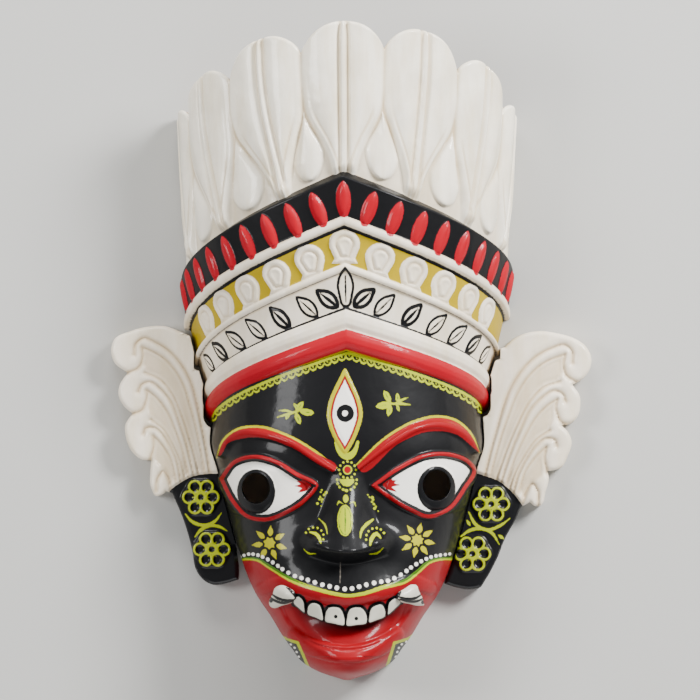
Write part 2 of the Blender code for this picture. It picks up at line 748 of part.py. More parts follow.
def flower(raised, pits, centre):
    """A raised round flower with sunk petals about a boss."""
    rise = FLOWER_RISE / UNIT
    sides = 18
    rings = []
    for radius, height in ((FLOWER_RADIUS, -SINK), (FLOWER_RADIUS - 1.5, rise)):
        ring = []
        for i in range(sides):
            a = 2 * math.pi * i / sides
            lobe = radius * (1 + 0.05 * math.cos(FLOWER_PETALS * a))
            ring.append(board_surface(centre[0] + lobe * math.cos(a), centre[1] + lobe * math.sin(a),
                                      np.array(height)))
        rings.append(ring)
    loft(raised, rings)
    for i in range(FLOWER_PETALS):
        a = 2 * math.pi * i / FLOWER_PETALS
        x, y = centre[0] + 10.2 * math.cos(a), centre[1] + 10.2 * math.sin(a)
        rings = []
        for scale, height in ((0.6, rise - FLOWER_PIT / UNIT), (1.0, rise + 1)):
            ring = []
            for k in range(5):
                b = 2 * math.pi * k / 5
                u, v = 4.4 * scale * math.cos(b), 3.9 * scale * math.sin(b)
                ring.append(board_surface(x + u * math.cos(a) - v * math.sin(a),
                                          y + u * math.sin(a) + v * math.cos(a), np.array(height)))
            rings.append(ring)
        loft(pits, rings)


def ear_wing(name, side, parts, cutters):
    """A wing of curling strands above a flap with two flowers, cut from one board."""
    left = side < 0
    outline = board_outline(WING_LEFT if left else WING_RIGHT, side)
    board = board_solid(name, outline, parts, paint(name + "_paint", (0.78, 0.73, 0.62), 0.34))
    for i, (path, half) in enumerate(STRANDS):
        shape = bmesh.new()
        path = path if left else to_right_wing(path)
        samples = smooth_path(path, len(path) + 2)
        ends = np.sin(np.linspace(0.12 * math.pi, 0.86 * math.pi, len(samples))) ** 0.5
        section = FLAT_RIDGE if half > 5 else SHARP_RIDGE
        strip(shape, board_surface, samples, half * ends, (1 - 0.06 * i) * STRAND_RISE / UNIT,
              section=section)
        cut(board, new_shape(f"{name}_strand_{i}", shape, cutters), "UNION")
    raised, pits = bmesh.new(), bmesh.new()
    for centre in FLOWERS_LEFT if left else FLOWERS_RIGHT:
        flower(raised, pits, centre)
    cut(board, new_shape(name + "_flowers", raised, cutters), "UNION")
    cut(board, new_shape(name + "_petal_pits", pits, cutters), "DIFFERENCE")
    return board


def main():
    for obj in list(bpy.data.objects):
        bpy.data.objects.remove(obj)
    parts = bpy.data.collections.new("wooden_deity_mask")
    cutters = bpy.data.collections.new("mask_cutters")
    for collection in (parts, cutters):
        bpy.context.scene.collection.children.link(collection)
    mask_body(parts, cutters)
    ear_wing("ear_wing_left", -1, parts, cutters)
    ear_wing("ear_wing_right", 1, parts, cutters)


main()
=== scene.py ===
# Looks of the wooden deity mask: carved relief, painted ornament and varnish.
# Drawing coordinates run right and down, and UNIT metres make one drawing unit, as in the part.

import math

import bmesh
import bpy
import numpy as np
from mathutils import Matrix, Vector
from mathutils.geometry import delaunay_2d_cdt


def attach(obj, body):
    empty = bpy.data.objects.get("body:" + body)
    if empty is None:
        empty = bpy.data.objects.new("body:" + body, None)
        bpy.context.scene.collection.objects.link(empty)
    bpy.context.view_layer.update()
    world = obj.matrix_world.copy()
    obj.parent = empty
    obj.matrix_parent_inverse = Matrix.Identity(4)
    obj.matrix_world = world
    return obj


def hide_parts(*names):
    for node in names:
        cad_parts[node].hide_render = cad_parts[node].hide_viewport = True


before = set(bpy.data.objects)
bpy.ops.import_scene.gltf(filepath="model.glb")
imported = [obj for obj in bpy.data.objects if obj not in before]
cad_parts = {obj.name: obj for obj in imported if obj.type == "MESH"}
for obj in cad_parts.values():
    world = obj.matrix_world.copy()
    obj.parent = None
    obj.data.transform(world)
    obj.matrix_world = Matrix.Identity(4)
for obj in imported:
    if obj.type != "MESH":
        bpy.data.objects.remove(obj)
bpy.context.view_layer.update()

# Sizes, in metres
MASK_HEIGHT = 0.480
WALL = 0.014
MOUTH_DEPTH = 0.010
BOARD_THICKNESS = 0.016
EYE_HOLE_WIDTH = 0.0204
EYE_HOLE_HEIGHT = 0.0226

# Drawing frame; FAR is a distance at which no paint shows
CROWN_TIP_Y = 22.5
CHIN_Y = 681.0
CENTRE_LINE = 347.0
OUTLINE_CENTRE = 351.0
MID_LINE = 0.5 * (CROWN_TIP_Y + CHIN_Y)
UNIT = MASK_HEIGHT / (CHIN_Y - CROWN_TIP_Y)
BACK_TRIM = 2.0
FAR = 6.0
INNER_ROWS = 8

# Feathers: ribs in degrees round the crown, at the tips and at the feet
LEFT_LEAN = 0.11
RIB_TIPS = (-118, -89, -60.5, -31.5, -1.4, 27.8, 57, 86.2, 115)
RIB_FEET = (-98, -74, -49, -22, -1.1, 23.7, 48.3, 73, 97)
TIP_HEIGHTS = (165, 115, 76, 40, 22.5, 32, 66, 112, 165)
TIP_DEPTH = 27.0
FEATHER_COLUMNS = 481
# Runs of rows: first, last and count, as shares of the way from tip to foot
FEATHER_RUNS = ((0, 0.02, 5), (0.026, 1.06, 158))
TIP_ROUNDING = 0.022
TIP_EDGE = 3.2
HOLLOW_DROP = 12
FEATHER_BASE_Y = 173.0
FEATHER_TOP_RADIUS = 165.0
FEATHER_BASE_RADIUS = 158.0
FEATHER_SINK = 1.6
FEATHER_ARC = 2.85
# Half width of the middle feather and of the others at a reach from tip to foot
WIDE_FEATHER = ((0, 1), (0.35, 1), (0.5, 0.96), (0.6, 0.86), (0.75, 0.63), (0.9, 0.43), (1.1, 0.3))
SLIM_FEATHER = ((0, 1), (0.35, 1), (0.5, 0.92), (0.6, 0.78), (0.75, 0.52), (0.9, 0.3), (1.1, 0.18))

# Bands: row at the middle, fall for each degree, radius
BAND_ROWS = (
    (171.0, 1.07, 156.0), (173.0, 1.07, 160.0), (177.0, 1.07, 167.6), (216.0, 1.06, 162.2),
    (217.5, 1.06, 164.3), (221.0, 1.06, 164.6), (224.5, 1.06, 163.4), (226.0, 1.05, 157.5),
    (263.0, 0.98, 150.5), (265.0, 0.97, 153.6), (268.0, 0.96, 153.8), (270.5, 0.95, 152.5),
    (272.0, 0.94, 148.5), (307.0, 0.8, 141.5), (311.0, 0.78, 144.0), (317.0, 0.77, 145.0),
    (323.0, 0.75, 144.2), (328.0, 0.74, 141.0), (331.0, 0.735, 142.8), (336.0, 0.73, 144.0),
    (341.0, 0.72, 143.8), (346.0, 0.715, 141.6), (349.0, 0.71, 139.0), (351.0, 0.71, 134.0),
)
CROWN_TURN = -1.4
BAND_COLUMNS = 421
BAND_RUNS = ((171, 176, 5), (177, 351, 172))
KEEL_RISE = 1.6
KEEL_ANGLE = 9.0
ARC_PER_DEGREE = 2.72
BLACK_END = 216.0
YELLOW_END = 263.0
LEAF_BAND_FALL = 0.71
# Painted lines round the bands: layer, row and half width; the grey line is a painted shadow under the rib
# below the yellow band
BAND_LINES = (("black", 227.6, 1.9), ("black", 308.2, 1.35), ("highlight_and_shadow_line", 271.6, 0.45))
YELLOW_ROW = (245.5, 17.8)
RED_ROLL_START = 329
LOWER_EDGE_START = 349.6
# Rows under the band ledges that take the tan: partly stain, partly painted shade
CLEFT_STAIN_AND_SHADE = ((272.5, 1.5), (217, 1.2))
PETAL_COUNT = 19
PETAL_PITCH = 9.1
PETAL_ROW = 198.5
PETAL_LEAN = math.radians(18)
PETAL_OUTLINE = (
    (0, -17.0), (3.2, -13.5), (5.9, -7), (6.9, 1), (6.4, 9), (4.8, 15), (2.4, 19.5),
    (-2.4, 19.5), (-4.8, 15), (-6.4, 9), (-6.9, 1), (-5.9, -7), (-3.2, -13.5),
)
ARCH_COUNT = 11
ARCH_PITCH = 13.2
ARCH_ROW = 244.6
ARCH_LEAN = math.radians(9)
ARCH_HEAD = (15.4, 14.6)
ARCH_FOOT = ((-13.5, 19.5), (-10.4, 14.5))
# Leaves: angle and row of the foot, angle and row of the tip, and whether the line is thick
LEAVES = (
    (3.1, 304.5, 11.4, 279, 1), (11.4, 306.5, 19.5, 277, 0), (23.1, 307, 30.9, 276, 1),
    (34.1, 307, 43.0, 275, 0), (45.2, 307, 55.0, 275, 0), (57.0, 307, 66.0, 275, 1),
    (69.0, 307, 77.5, 275, 0),
)
MIDDLE_LEAF = (
    (0, 267.5), (5.5, 275), (8.6, 285), (7.2, 295), (2.2, 307), (-2.2, 307), (-7.2, 295),
    (-8.6, 285), (-5.5, 275),
)
LEAF_WIDTHS = ((0.1, 3.6), (0.32, 7.0), (0.58, 7.2), (0.84, 3.6))

# Face form: half width, depth and squareness by row
FACE_SIDE = (
    (318, 130), (425, 136.5), (447, 137), (465, 131.5), (503, 122), (551, 109), (575, 101), (595, 92),
    (620, 75.5), (636, 66), (650, 56), (667, 41), (675, 25), (680.8, 6),
)
FACE_DEPTH = (
    (318, 131), (354, 134), (412, 139), (452, 141), (502, 138), (560, 141), (590, 146), (620, 143),
    (650, 141), (665, 134), (675, 112), (680.8, 70),
)
FACE_SQUARENESS = ((318, 2.0), (425, 2.4), (480, 2.9), (560, 2.8), (620, 2.5), (681, 2.1))
HOLLOW_SIDE = ((0, 164), (150, 163), (270, 159), (312, 154), (345, 147), (378, 138.5), (400, 136))
HOLLOW_DEPTH = ((0, 163), (120, 161), (173, 158), (218, 156), (263, 148), (307, 139), (335, 134))
PLAIN_SIDE = BOARD_THICKNESS / UNIT + 2 * BACK_TRIM
FACE_RUNS = ((335, 640, 250), (641, 680.8, 48))
CHIN_LEVEL_ROW = 655
FACE_COLUMNS = 235
FACE_SIDE_COLUMNS = 25
FRONT_SHARE = 0.93
INNER_COLUMNS = 18

# Eyes and brows
PUPIL_LEFT = (256.2, 490.0)
PUPIL_RIGHT = (436.5, 487.0)
EYE_HOLE_LEFT = (256.0, 488.0)
EYE_HOLE_RIGHT = (436.5, 485.0)
RIM_LEFT = (
    (219, 479), (233, 461), (251, 455), (279, 461), (297, 472), (318, 485), (307, 500), (288, 513),
    (265, 521), (247, 518), (232, 503),
)
RIM_RIGHT = (
    (371, 485), (400, 465), (428, 453), (451, 453), (470, 461), (476, 468), (465, 491), (451, 509),
    (428, 518), (410, 511), (387, 497),
)
BROW_LEFT = ((220, 454), (229, 439), (245, 433), (262, 434), (288, 441), (318, 460), (335, 470))
BROW_RIGHT = ((358, 468), (392, 442), (420, 427), (438, 425), (456, 430), (472, 442), (477, 451))
BROW_HALF_WIDTHS = (5.0, 7.6, 7.0, 6.2, 5.4, 5.0, 3.0)
RED_BROW_LEFT = (
    (216, 459), (223, 441), (237, 430), (256, 427), (286, 435), (316, 452), (337, 468), (334, 472),
    (325, 468), (288, 446), (260, 438), (242, 439), (228, 444), (221, 456),
)
RED_BROW_RIGHT = (
    (356, 465), (387, 437), (414, 422), (437, 417), (456, 421), (473, 437), (480, 454), (474, 449),
    (456, 435), (428, 432), (400, 443), (359, 470),
)
THIRD_EYE = (
    (345, 370), (352, 385), (359, 402), (361, 414), (357, 430), (350, 445), (345, 452), (339, 444),
    (332, 430), (328.5, 414), (331, 400), (338, 384),
)

# Mouth and chin
MOUTH_EDGE = (
    (278, 606), (292, 597), (315, 600), (345, 606), (375, 600), (400, 597), (412, 604), (401, 626),
    (381, 639.5), (345, 647), (307, 638.5), (286, 623),
)
LOWER_LIP = ((293, 634), (306, 646), (325, 653), (345, 655.5), (368, 653), (384, 646), (397, 634))
UPPER_LIP = (
    (262, 590), (280, 583), (303, 588), (325, 594), (345.5, 598), (368, 594), (390, 588), (410, 581),
    (430, 588),
)
GUM_LINE = (
    (278, 604), (290, 603), (305, 608.5), (325, 614.5), (345, 617), (367, 614.5), (386, 608.5),
    (400, 602), (412, 603),
)
LIP_LINE = (
    (237, 563), (242, 560.5), (258, 560), (270, 567), (293, 580), (316, 588), (334, 592.5),
    (347, 594.6), (361, 593), (384, 586), (406, 580), (418, 571), (429, 562), (449.5, 559.5),
    (456, 561),
)
LIP_DOTS = (
    (239.7, 558), (247.5, 554.5), (256, 554.5), (262.5, 556.5), (273, 562), (283, 568.7), (293, 574.4),
    (308, 579), (320, 583), (331, 585.5), (343.4, 587.8), (351, 587.5), (364, 584.3), (378, 581.2),
    (386, 580.3), (394, 577.5), (403, 572.6), (410, 567.6), (417, 563), (431, 556.8), (450, 554.3),
)
LIP_DOT_SHARES = (0, 0.095, 0.21, 0.35, 0.5, 0.65, 0.79, 0.905, 1)
LIP_DOT_COUNT = 37
RED_CHIN = ((470, 600), (440, 640), (380, 690), (310, 690), (250, 640), (222, 600))
CHIN_CORNERS = (
    ((272, 636), (278, 638), (297.6, 642.4), (303, 655), (309, 671), (296, 672), (280, 655)),
    ((422, 632), (408, 640), (394.5, 642.4), (391, 655), (387, 668), (398, 670), (412, 655)),
)
CHIN_DOTS = (
    ((281, 642.5), (285.5, 644), (290.5, 645.5), (294.5, 648.5), (296.5, 653), (298.5, 658), (289, 650),
     (292.5, 655)),
    ((411, 641.5), (406.5, 643), (402, 645), (399, 648.5), (397.5, 653), (396, 658), (404, 650)),
)
TEETH = (
    ((292.6, 596.5), (298.7, 594.6), (303.6, 598.5), (305.4, 606), (305.4, 613.2), (298, 608),
     (293, 603)),
    ((307, 606), (309.5, 602.2), (314.6, 601), (320.4, 603.5), (323, 610), (323.3, 620.6), (315, 617.5),
     (306.8, 613.6)),
    ((324.8, 611), (327.5, 606.6), (334, 604.8), (340.8, 606.8), (344.4, 613), (344.6, 625),
     (334, 623.7), (324.4, 620.8)),
    ((346.4, 613), (349, 607.6), (356, 605.2), (363.3, 607), (366.8, 612), (366.9, 623), (357, 625),
     (346, 625.3)),
    ((368.6, 611), (371, 606), (376.5, 603.2), (382.6, 603), (385.6, 608), (385.7, 616), (377, 620.2),
     (368.5, 622.4)),
    ((387, 606), (388.6, 600.8), (393, 597.4), (398.5, 596.6), (401.6, 601.5), (396, 608.3), (387, 615)),
)
TOOTH_DOTS = ((335.8, 615.5), (356.3, 617.5))
TOOTH_SPACING = 0.8
# Domes: height, width of the soft edge, and how far the skin sinks behind
TOOTH_DOME = (2.6, 3.5, 7.0)
FANG_DOME = (8.5, 8.5, 3.0)
FANGS = (
    ((298, 597), (296, 590.5), (289.5, 585.5), (283, 583.6), (277.5, 586), (275, 592), (271.5, 598),
     (272.5, 604), (277, 607), (284, 604.5), (291, 602.5)),
    ((394.5, 597), (396.5, 592), (403, 587.5), (409.5, 583.2), (414, 583.5), (416.5, 589), (421, 598),
     (421.5, 603.5), (415, 604.5), (407, 602.5), (400, 601)),
)
FANG_ROOTS = (((297, 591), (297.5, 596), (294, 600)), ((396, 592), (395.5, 597), (399, 601)))
FANG_DOTS = ((271, 600.5), (422.8, 602))
STRIPES = (
    ((271, 593), (278, 597.5), (285, 599.5), (293, 599)),
    ((269, 596), (276, 600.5), (284, 602.3), (292, 600.5)),
    ((293, 592), (296.5, 596.5), (300, 599)),
    ((286, 585.5), (291, 590), (293.5, 594)),
    ((421.5, 594), (415, 597.5), (407, 598), (399, 596)),
    ((423.5, 598), (416, 600.8), (407, 600.4), (400, 598.5)),
    ((401, 588.5), (399.5, 592.5), (396, 598)),
)

# Painted ornament: points and half widths of strokes; centre, radius, ends, count and dot radius of arcs
NOSE_STROKES = (
    (((335.8, 442.5), (338.5, 449.5), (343, 454.3), (347.5, 456), (352, 454), (355.5, 449), (357.8, 441.5)),
     (1.4, 2.0, 3.0, 3.6, 3.0, 2.0, 1.4)),
    (((337, 504.5), (338.8, 501), (342.8, 503)), (0.5, 1.0, 0.4)),
    (((350, 502.5), (354, 501), (355.6, 505.5)), (0.5, 1.0, 0.4)),
    (((318.8, 518), (325, 524), (327.5, 533)), (0.4, 1.0, 0.4)),
    (((373, 519), (366, 524), (361, 531), (360.5, 537)), (1.0, 1.7, 1.4, 0.5)),
    (((309.7, 531.5), (316, 533), (319.5, 537), (321, 542.5)), (0.6, 1.6, 1.7, 0.6)),
    (((370, 544), (372, 536.6), (376.2, 532.8), (380.7, 537)), (0.8, 1.9, 1.9, 0.8)),
    (((304, 548.5), (309, 552.7), (316, 552.7)), (0.4, 0.9, 0.4)),
    (((369, 553.4), (377.6, 552), (383.2, 547)), (0.4, 0.9, 0.4)),
)
NOSE_DOT_ARCS = (
    ((347.5, 469.4), 8.3, 0, 330, 12, 1.25), ((347, 480), 9.8, -5, 185, 9, 1.3),
    ((314.5, 536), 9.3, 205, 375, 7, 1.1), ((375.5, 537), 9.6, 170, 330, 7, 1.2),
)
CHEEK_FLOWERS = ((269.7, 542.7, 7, -0.6), (417.3, 539.7, 8, 0.2))
# Each sprig: stem, twig, and leaves from foot to tip
SPRIGS = (
    (((277.5, 417), (288, 414), (298, 411)), ((279, 410.5), (287, 410.5), (292, 412)),
     (((296, 411), (303.5, 401.5)), ((300, 411), (314.5, 413)), ((296, 413), (300.5, 424)),
      ((290, 413), (286, 419)), ((298, 409), (294, 403)))),
    (((410, 404.5), (401, 403.5), (391, 403.5)), ((408, 397.5), (401, 400), (396, 402.5)),
     (((391, 404), (375.5, 406.5)), ((390, 402), (384, 390.5)), ((390.5, 405), (388, 416)),
      ((398, 402), (397, 393)), ((397, 405), (399, 411)))),
)

# Ear wings, each outline in runs between its corners
WING_TOP_Y = 347.0
WALL_END_Y = 545.0
WING_SPACING = 1.1
WING_GAP = 0.6
WING_RIM = 4.5
WING_LEFT = (
    ((195, 347), (191, 338), (178, 331), (164, 326), (150, 326), (129, 331), (113, 339), (109.6, 351),
     (112.5, 362), (126, 373)),
    ((126, 373), (118, 386), (117, 395), (123, 407), (131, 414)),
    ((131, 414), (124, 425), (125, 440), (132, 454), (140, 460), (150, 461)),
    ((150, 461), (149, 473), (150, 489), (155, 497), (162, 495), (166, 491)),
    ((171, 494), (182, 520), (191, 551), (195, 571), (201, 580), (211, 586), (225, 585), (238, 581)),
    ((238, 581), (238, 568), (236, 553)),
)
WING_RIGHT = (
    ((506, 347), (513, 340), (527, 333), (539, 331), (558, 333), (575, 338), (587, 346), (593, 359),
     (590, 372), (583, 380), (574, 385)),
    ((574, 385), (581, 396), (582, 405), (579, 417), (572, 424), (563, 426)),
    ((563, 426), (569, 432), (573, 442), (569, 457), (563, 468), (549, 472)),
    ((549, 472), (550, 480), (547, 492), (541, 507), (536, 507), (530, 502)),
    ((522, 508), (518, 518), (506, 540), (498, 560), (486, 582), (481, 589), (473, 591), (457, 589),
     (445, 585)),
    ((445, 585), (450, 570), (457, 553)),
)
GROOVES = (
    ((133, 355), (135, 343), (142, 338), (154, 342), (167, 350), (182, 367), (190, 382), (196, 402),
     (200, 422), (205, 448), (209, 474)),
    ((141, 347), (158, 355), (172, 368), (183, 387), (189, 406), (195, 428), (200, 452), (204, 475)),
    ((141, 347), (142, 356), (138, 367), (126, 373)),
    ((144, 373), (158, 379), (171, 394), (180, 414), (187, 434), (193, 455), (198, 476)),
    ((137, 392), (140, 385), (148, 382), (160, 390), (171, 404), (178, 422), (186, 446), (193, 477)),
    ((145, 390), (154, 397), (165, 411), (173, 428), (181, 450), (188, 478)),
    ((145, 390), (146, 398), (144, 404), (141, 410), (132, 414)),
    ((150, 420), (162, 430), (172, 446), (179, 461), (184, 480)),
    ((142, 435), (144, 429), (153, 428), (162, 436), (170, 449), (176, 463), (180, 482)),
    ((152, 436), (160, 445), (168, 457), (175, 482)),
    ((152, 436), (153, 446), (149, 460)),
    ((155, 492), (157, 478), (162, 472), (168, 480), (170, 490)),
)
HOLLOWS = (
    GROOVES[1] + GROOVES[3][::-1] + ((140, 366), (142, 356)),
    GROOVES[5] + GROOVES[7][::-1] + ((145, 409), (146, 398)),
    GROOVES[9] + ((169, 488), (160, 472), (152, 463), (153, 446)),
)
CURL_EYES_LEFT = ((141.4, 347.0), (151.6, 436.4))
CURL_EYES_RIGHT = ((565.8, 354.5), (547.6, 448.0))
FLAP_TOP_LEFT = ((140, 540), (162, 505), (168, 492.5), (180, 483), (192, 477), (208, 474.5), (226, 474))
FLAP_TOP_RIGHT = (
    (466, 472), (474, 473), (484, 476), (500, 482), (513, 493), (524, 507), (532, 520), (550, 545),
)
FLOWERS_LEFT = ((200, 498), (211, 550.5))
FLOWERS_RIGHT = ((492, 505), (473, 555))
FLOWER_RADIUS = 17.0
PETAL_REACH = 11.6
FLAP_ARCS_LEFT = (
    ((184.3, 515), (191, 522.5), (203, 526.3), (214, 522.5), (220.5, 514)),
    ((194, 538), (200.5, 530.5), (210, 526.5), (219, 528), (226.5, 532)),
)
FLAP_ARCS_RIGHT = (
    ((469.5, 513), (477, 526), (487.6, 531), (500.4, 527), (511, 519.4)),
    ((461, 538), (470.6, 531.5), (481, 529.5), (492, 533.5), (500.4, 546)),
    ((467.5, 521), (471, 527)), ((499, 536), (505, 540)),
)

# Colours, before the render's view transform
CREAM = (238, 226, 206)
FEATHER = (246, 238, 220)
# Tan for grooves, clefts and hollows: partly the stain gathered there, partly painted shade
STAIN_AND_SHADE_TAN = (186, 160, 118)
STAIN = (216, 200, 166)
BLACK = (10, 10, 12)
# Grey for a painted highlight under the nose and a painted shadow under a band's rib
HIGHLIGHT_AND_SHADOW_GREY = (110, 104, 96)
RED = (136, 1, 14)
# Painted shade: deep red for the mouth recess under the teeth
MOUTH_SHADE_RED = (58, 3, 8)
PETAL_RED = (156, 0, 24)
YELLOW = (166, 142, 0)
LEMON = (166, 160, 0)
LIME = (162, 172, 0)
GREEN = (58, 104, 14)
WHITE = (240, 236, 226)
TOOTH = (204, 200, 184)
WOOD = (176, 140, 98)
WOOD_GRAIN = (126, 92, 58)
FLOOR = (176, 175, 171)
VARNISH = {"Roughness": 0.55, "Specular IOR Level": 0.12, "Coat IOR": 1.4, "Coat Roughness": 0.13}

# Studio: place, size and power of each light, in metres and watts
LIGHTS = {
    "key": ((1.6, 1.3, 1.45), (0.8, 0.8), 168),
    "fill": ((-1.7, 0.3, 1.7), (0.8, 0.8), 44),
    "top": ((-0.3, 2.0, 1.0), (1.2, 0.4), 46),
    "low": ((0.2, -2.2, 1.0), (2.8, 1.8), 38),
}
LIGHT_AIM = (0, 0, 0.06)
SKY_COLOUR = (0.9, 0.95, 1.0, 1)
SKY_STRENGTH = 0.26
PHOTO_SIZE = 700
CAMERA_HEIGHT = 9.0
CAMERA_FOCUS = 0.07
SENSOR_WIDTH = 36


# Curves and surfaces shared with the part


def smooth(knots, place):
    """Read a smooth curve through (place, value) knots."""
    places, values = np.array(knots, dtype=float).T
    slopes = np.gradient(values, places)
    place = np.clip(place, places[0], places[-1])
    i = np.clip(np.searchsorted(places, place, side="right") - 1, 0, len(places) - 2)
    step = places[i + 1] - places[i]
    s = (place - places[i]) / step
    start = (1 + 2 * s) * (1 - s) ** 2 * values[i] + s * (1 - s) ** 2 * step * slopes[i]
    return start + s * s * (3 - 2 * s) * values[i + 1] + s * s * (s - 1) * step * slopes[i + 1]


def ease(value):
    """A soft step from 0 to 1."""
    value = np.clip(value, 0, 1)
    return value * value * (3 - 2 * value)


def bump_shape(distance, half):
    """A rounded ridge of height 1 and a half width."""
    return np.sqrt(np.clip(1 - (distance / half) ** 2, 0, 1))


def rounding(share):
    """How far a rounded edge falls, from 1 at the edge to 0 where the rounding ends."""
    return 1 - np.sqrt(np.clip(1 - (1 - np.clip(share, 0, 1)) ** 2, 0, 1))


def runs_of(runs):
    """Even runs of rows, one after another."""
    return np.concatenate([np.linspace(*run) for run in runs])


def closed_line(path):
    """A path with its first point again at its end."""
    return np.vstack((path, path[:1]))


def lengths_along(path):
    """Distance along a polyline at each of its points."""
    return np.concatenate(([0], np.cumsum(np.linalg.norm(np.diff(path, axis=0), axis=1))))


def smooth_path(points, count, closed=False):
    """Even samples of a smooth curve through drawing points."""
    points = np.array(points, dtype=float)
    if closed:
        points = closed_line(points)
    lengths = lengths_along(points)
    where = np.linspace(0, lengths[-1], count + 1 if closed else count)
    path = np.column_stack([smooth(np.column_stack((lengths, values)), where) for values in points.T])
    return path[:-1] if closed else path


def even_path(points, step, least=3, closed=False):
    """Samples of a smooth curve about a step apart."""
    line = np.array(points, dtype=float)
    length = lengths_along(closed_line(line) if closed else line)[-1]
    return smooth_path(points, max(least, int(length / step)), closed)


def to_metres(x, y, depth):
    """A point in metres from drawing x and y and a depth in drawing units."""
    x, y, depth = np.broadcast_arrays(x, y, depth)
    return np.stack((
        (x - OUTLINE_CENTRE) * UNIT,
        (MID_LINE - y) * UNIT,
        np.maximum(depth - BACK_TRIM, 0) * UNIT,
    ), axis=-1)


def crown_fall(angle, fall):
    """Drawing distance that a row drops at an angle round the drum."""
    return np.where(angle < 0, fall + LEFT_LEAN, fall) * np.abs(angle)


def face_form(y):
    """Half width, depth and squareness of the plain face at a row."""
    return [smooth(knots, y) for knots in (FACE_SIDE, FACE_DEPTH, FACE_SQUARENESS)]


def face_base(x, y):
    """Depth of the plain face form under a drawing point."""
    half, depth, power = face_form(y)
    across = np.clip(np.abs(x - CENTRE_LINE) / half, 0, 1)
    return depth * (1 - across ** power) ** (1 / power)


def face_normal(x, y, z):
    """Outward direction of the plain face form, in drawing axes."""
    def level(px, py, pz):
        half, depth, power = face_form(py)
        return (np.abs(px - CENTRE_LINE) / half) ** power + (np.abs(pz) / depth) ** power
    step = 0.5
    slope = np.stack((
        level(x + step, y, z) - level(x - step, y, z),
        level(x, y + step, z) - level(x, y - step, z),
        level(x, y, z + step) - level(x, y, np.maximum(z - step, 0)),
    ), axis=-1)
    slope[..., 1] = np.where(y > CHIN_LEVEL_ROW, 0, slope[..., 1])
    return slope / np.linalg.norm(slope, axis=-1, keepdims=True)


def hill(x, y, centre, spread):
    """A round hill of height 1."""
    return np.exp(-((x - centre[0]) / spread[0]) ** 2 - ((y - centre[1]) / spread[1]) ** 2)


def nose(x, y):
    """How far the nose and the lips stand out, straight forward."""
    off = np.abs(x - CENTRE_LINE)
    down = np.clip((y - 458) / (551 - 458), 0, 1)
    under = (y - 549 + 9 * np.clip(off / 40, 0, 1.2) ** 2) / 16
    half = 15 + 29 * down ** 1.4
    across = np.cos(0.5 * math.pi * np.clip(off / half, 0, 1)) ** 1.5
    ridge = 36 * down ** 1.25 * across * (1 - ease(under))
    nostril = 17 * hill(off, y, (33, 541), (12.5, 11))
    muzzle = 8 * hill(off, y, (0, 588), (62, 20))
    chin = 5 * hill(off, y, (0, 668), (30, 10))
    return ridge + nostril + muzzle + chin


def modelling(x, y):
    """Low forms that rise square to the face: sockets, eyeballs and cheeks."""
    rise = 4.5 * hill(np.abs(x - CENTRE_LINE), y, (68, 556), (26, 22))
    for pupil in (PUPIL_LEFT, PUPIL_RIGHT):
        rise = rise - 6 * hill(x, y, pupil, (50, 27))
        ball = 1 - ((x - pupil[0]) / 50) ** 2 - ((y - pupil[1]) / 28) ** 2
        rise = rise + 6 * np.sqrt(np.clip(ball, 0, 1))
    return rise


def face_point(x, y, rise, straight=0.0):
    """A point on the carved face, raised square to the plain form and moved straight forward."""
    z = face_base(x, y)
    out = face_normal(x, y, z) * np.expand_dims(modelling(x, y) + rise, -1)
    carved = np.clip((z - PLAIN_SIDE) / PLAIN_SIDE, 0, 1)
    return to_metres(x + out[..., 0] * carved, y + out[..., 1] * carved,
                     z + (out[..., 2] + nose(x, y) + straight) * carved)


def hollow_point(turn, y, spare):
    """A point on the smooth hollow behind, spare drawing units further in."""
    wall = WALL / UNIT + spare
    half = smooth(HOLLOW_SIDE + FACE_SIDE[1:], y) - wall
    room = MOUTH_DEPTH / UNIT * hill(0.0, y, (0, 620), (1, 42))
    depth = smooth(HOLLOW_DEPTH + FACE_DEPTH[1:], y) - wall - room
    power = smooth(FACE_SQUARENESS, y)
    across = np.sin(turn)
    return CENTRE_LINE + half * across, depth * (1 - np.abs(across) ** power) ** (1 / power)


# Distances to strokes and areas, in drawing units


def stroke_distance(x, y, path, halves):
    """Distance from points to the edge of a stroke along a path."""
    best = np.full(np.shape(x), 1e6)
    for (ax, ay), (bx, by), wa, wb in zip(path, path[1:], halves, halves[1:]):
        ux, uy = bx - ax, by - ay
        t = np.clip(((x - ax) * ux + (y - ay) * uy) / max(ux * ux + uy * uy, 1e-9), 0, 1)
        best = np.minimum(best, np.hypot(x - ax - t * ux, y - ay - t * uy) - wa - t * (wb - wa))
    return best


def area_distance(x, y, path):
    """Distance from points to the edge of an area, negative inside."""
    ring = closed_line(path)
    edge = stroke_distance(x, y, ring, np.zeros(len(ring)))
    inside = np.zeros(np.shape(x), dtype=bool)
    for (ax, ay), (bx, by) in zip(ring, ring[1:]):
        if ay != by:
            crosses = (ay > y) != (by > y)
            inside ^= crosses & (x < ax + (y - ay) * (bx - ax) / (by - ay))
    return np.where(inside, -edge, edge)


def line_distance(x, y, path):
    """Distance from points to a thin line."""
    return stroke_distance(x, y, path, np.zeros(len(path)))


def round_dots(centre, radius, start, stop, count):
    """Places of dots along an arc, its angles in degrees clockwise from the right."""
    turns = [math.radians(a) for a in np.linspace(start, stop, count)]
    return [(centre[0] + radius * math.cos(a), centre[1] + radius * math.sin(a)) for a in turns]


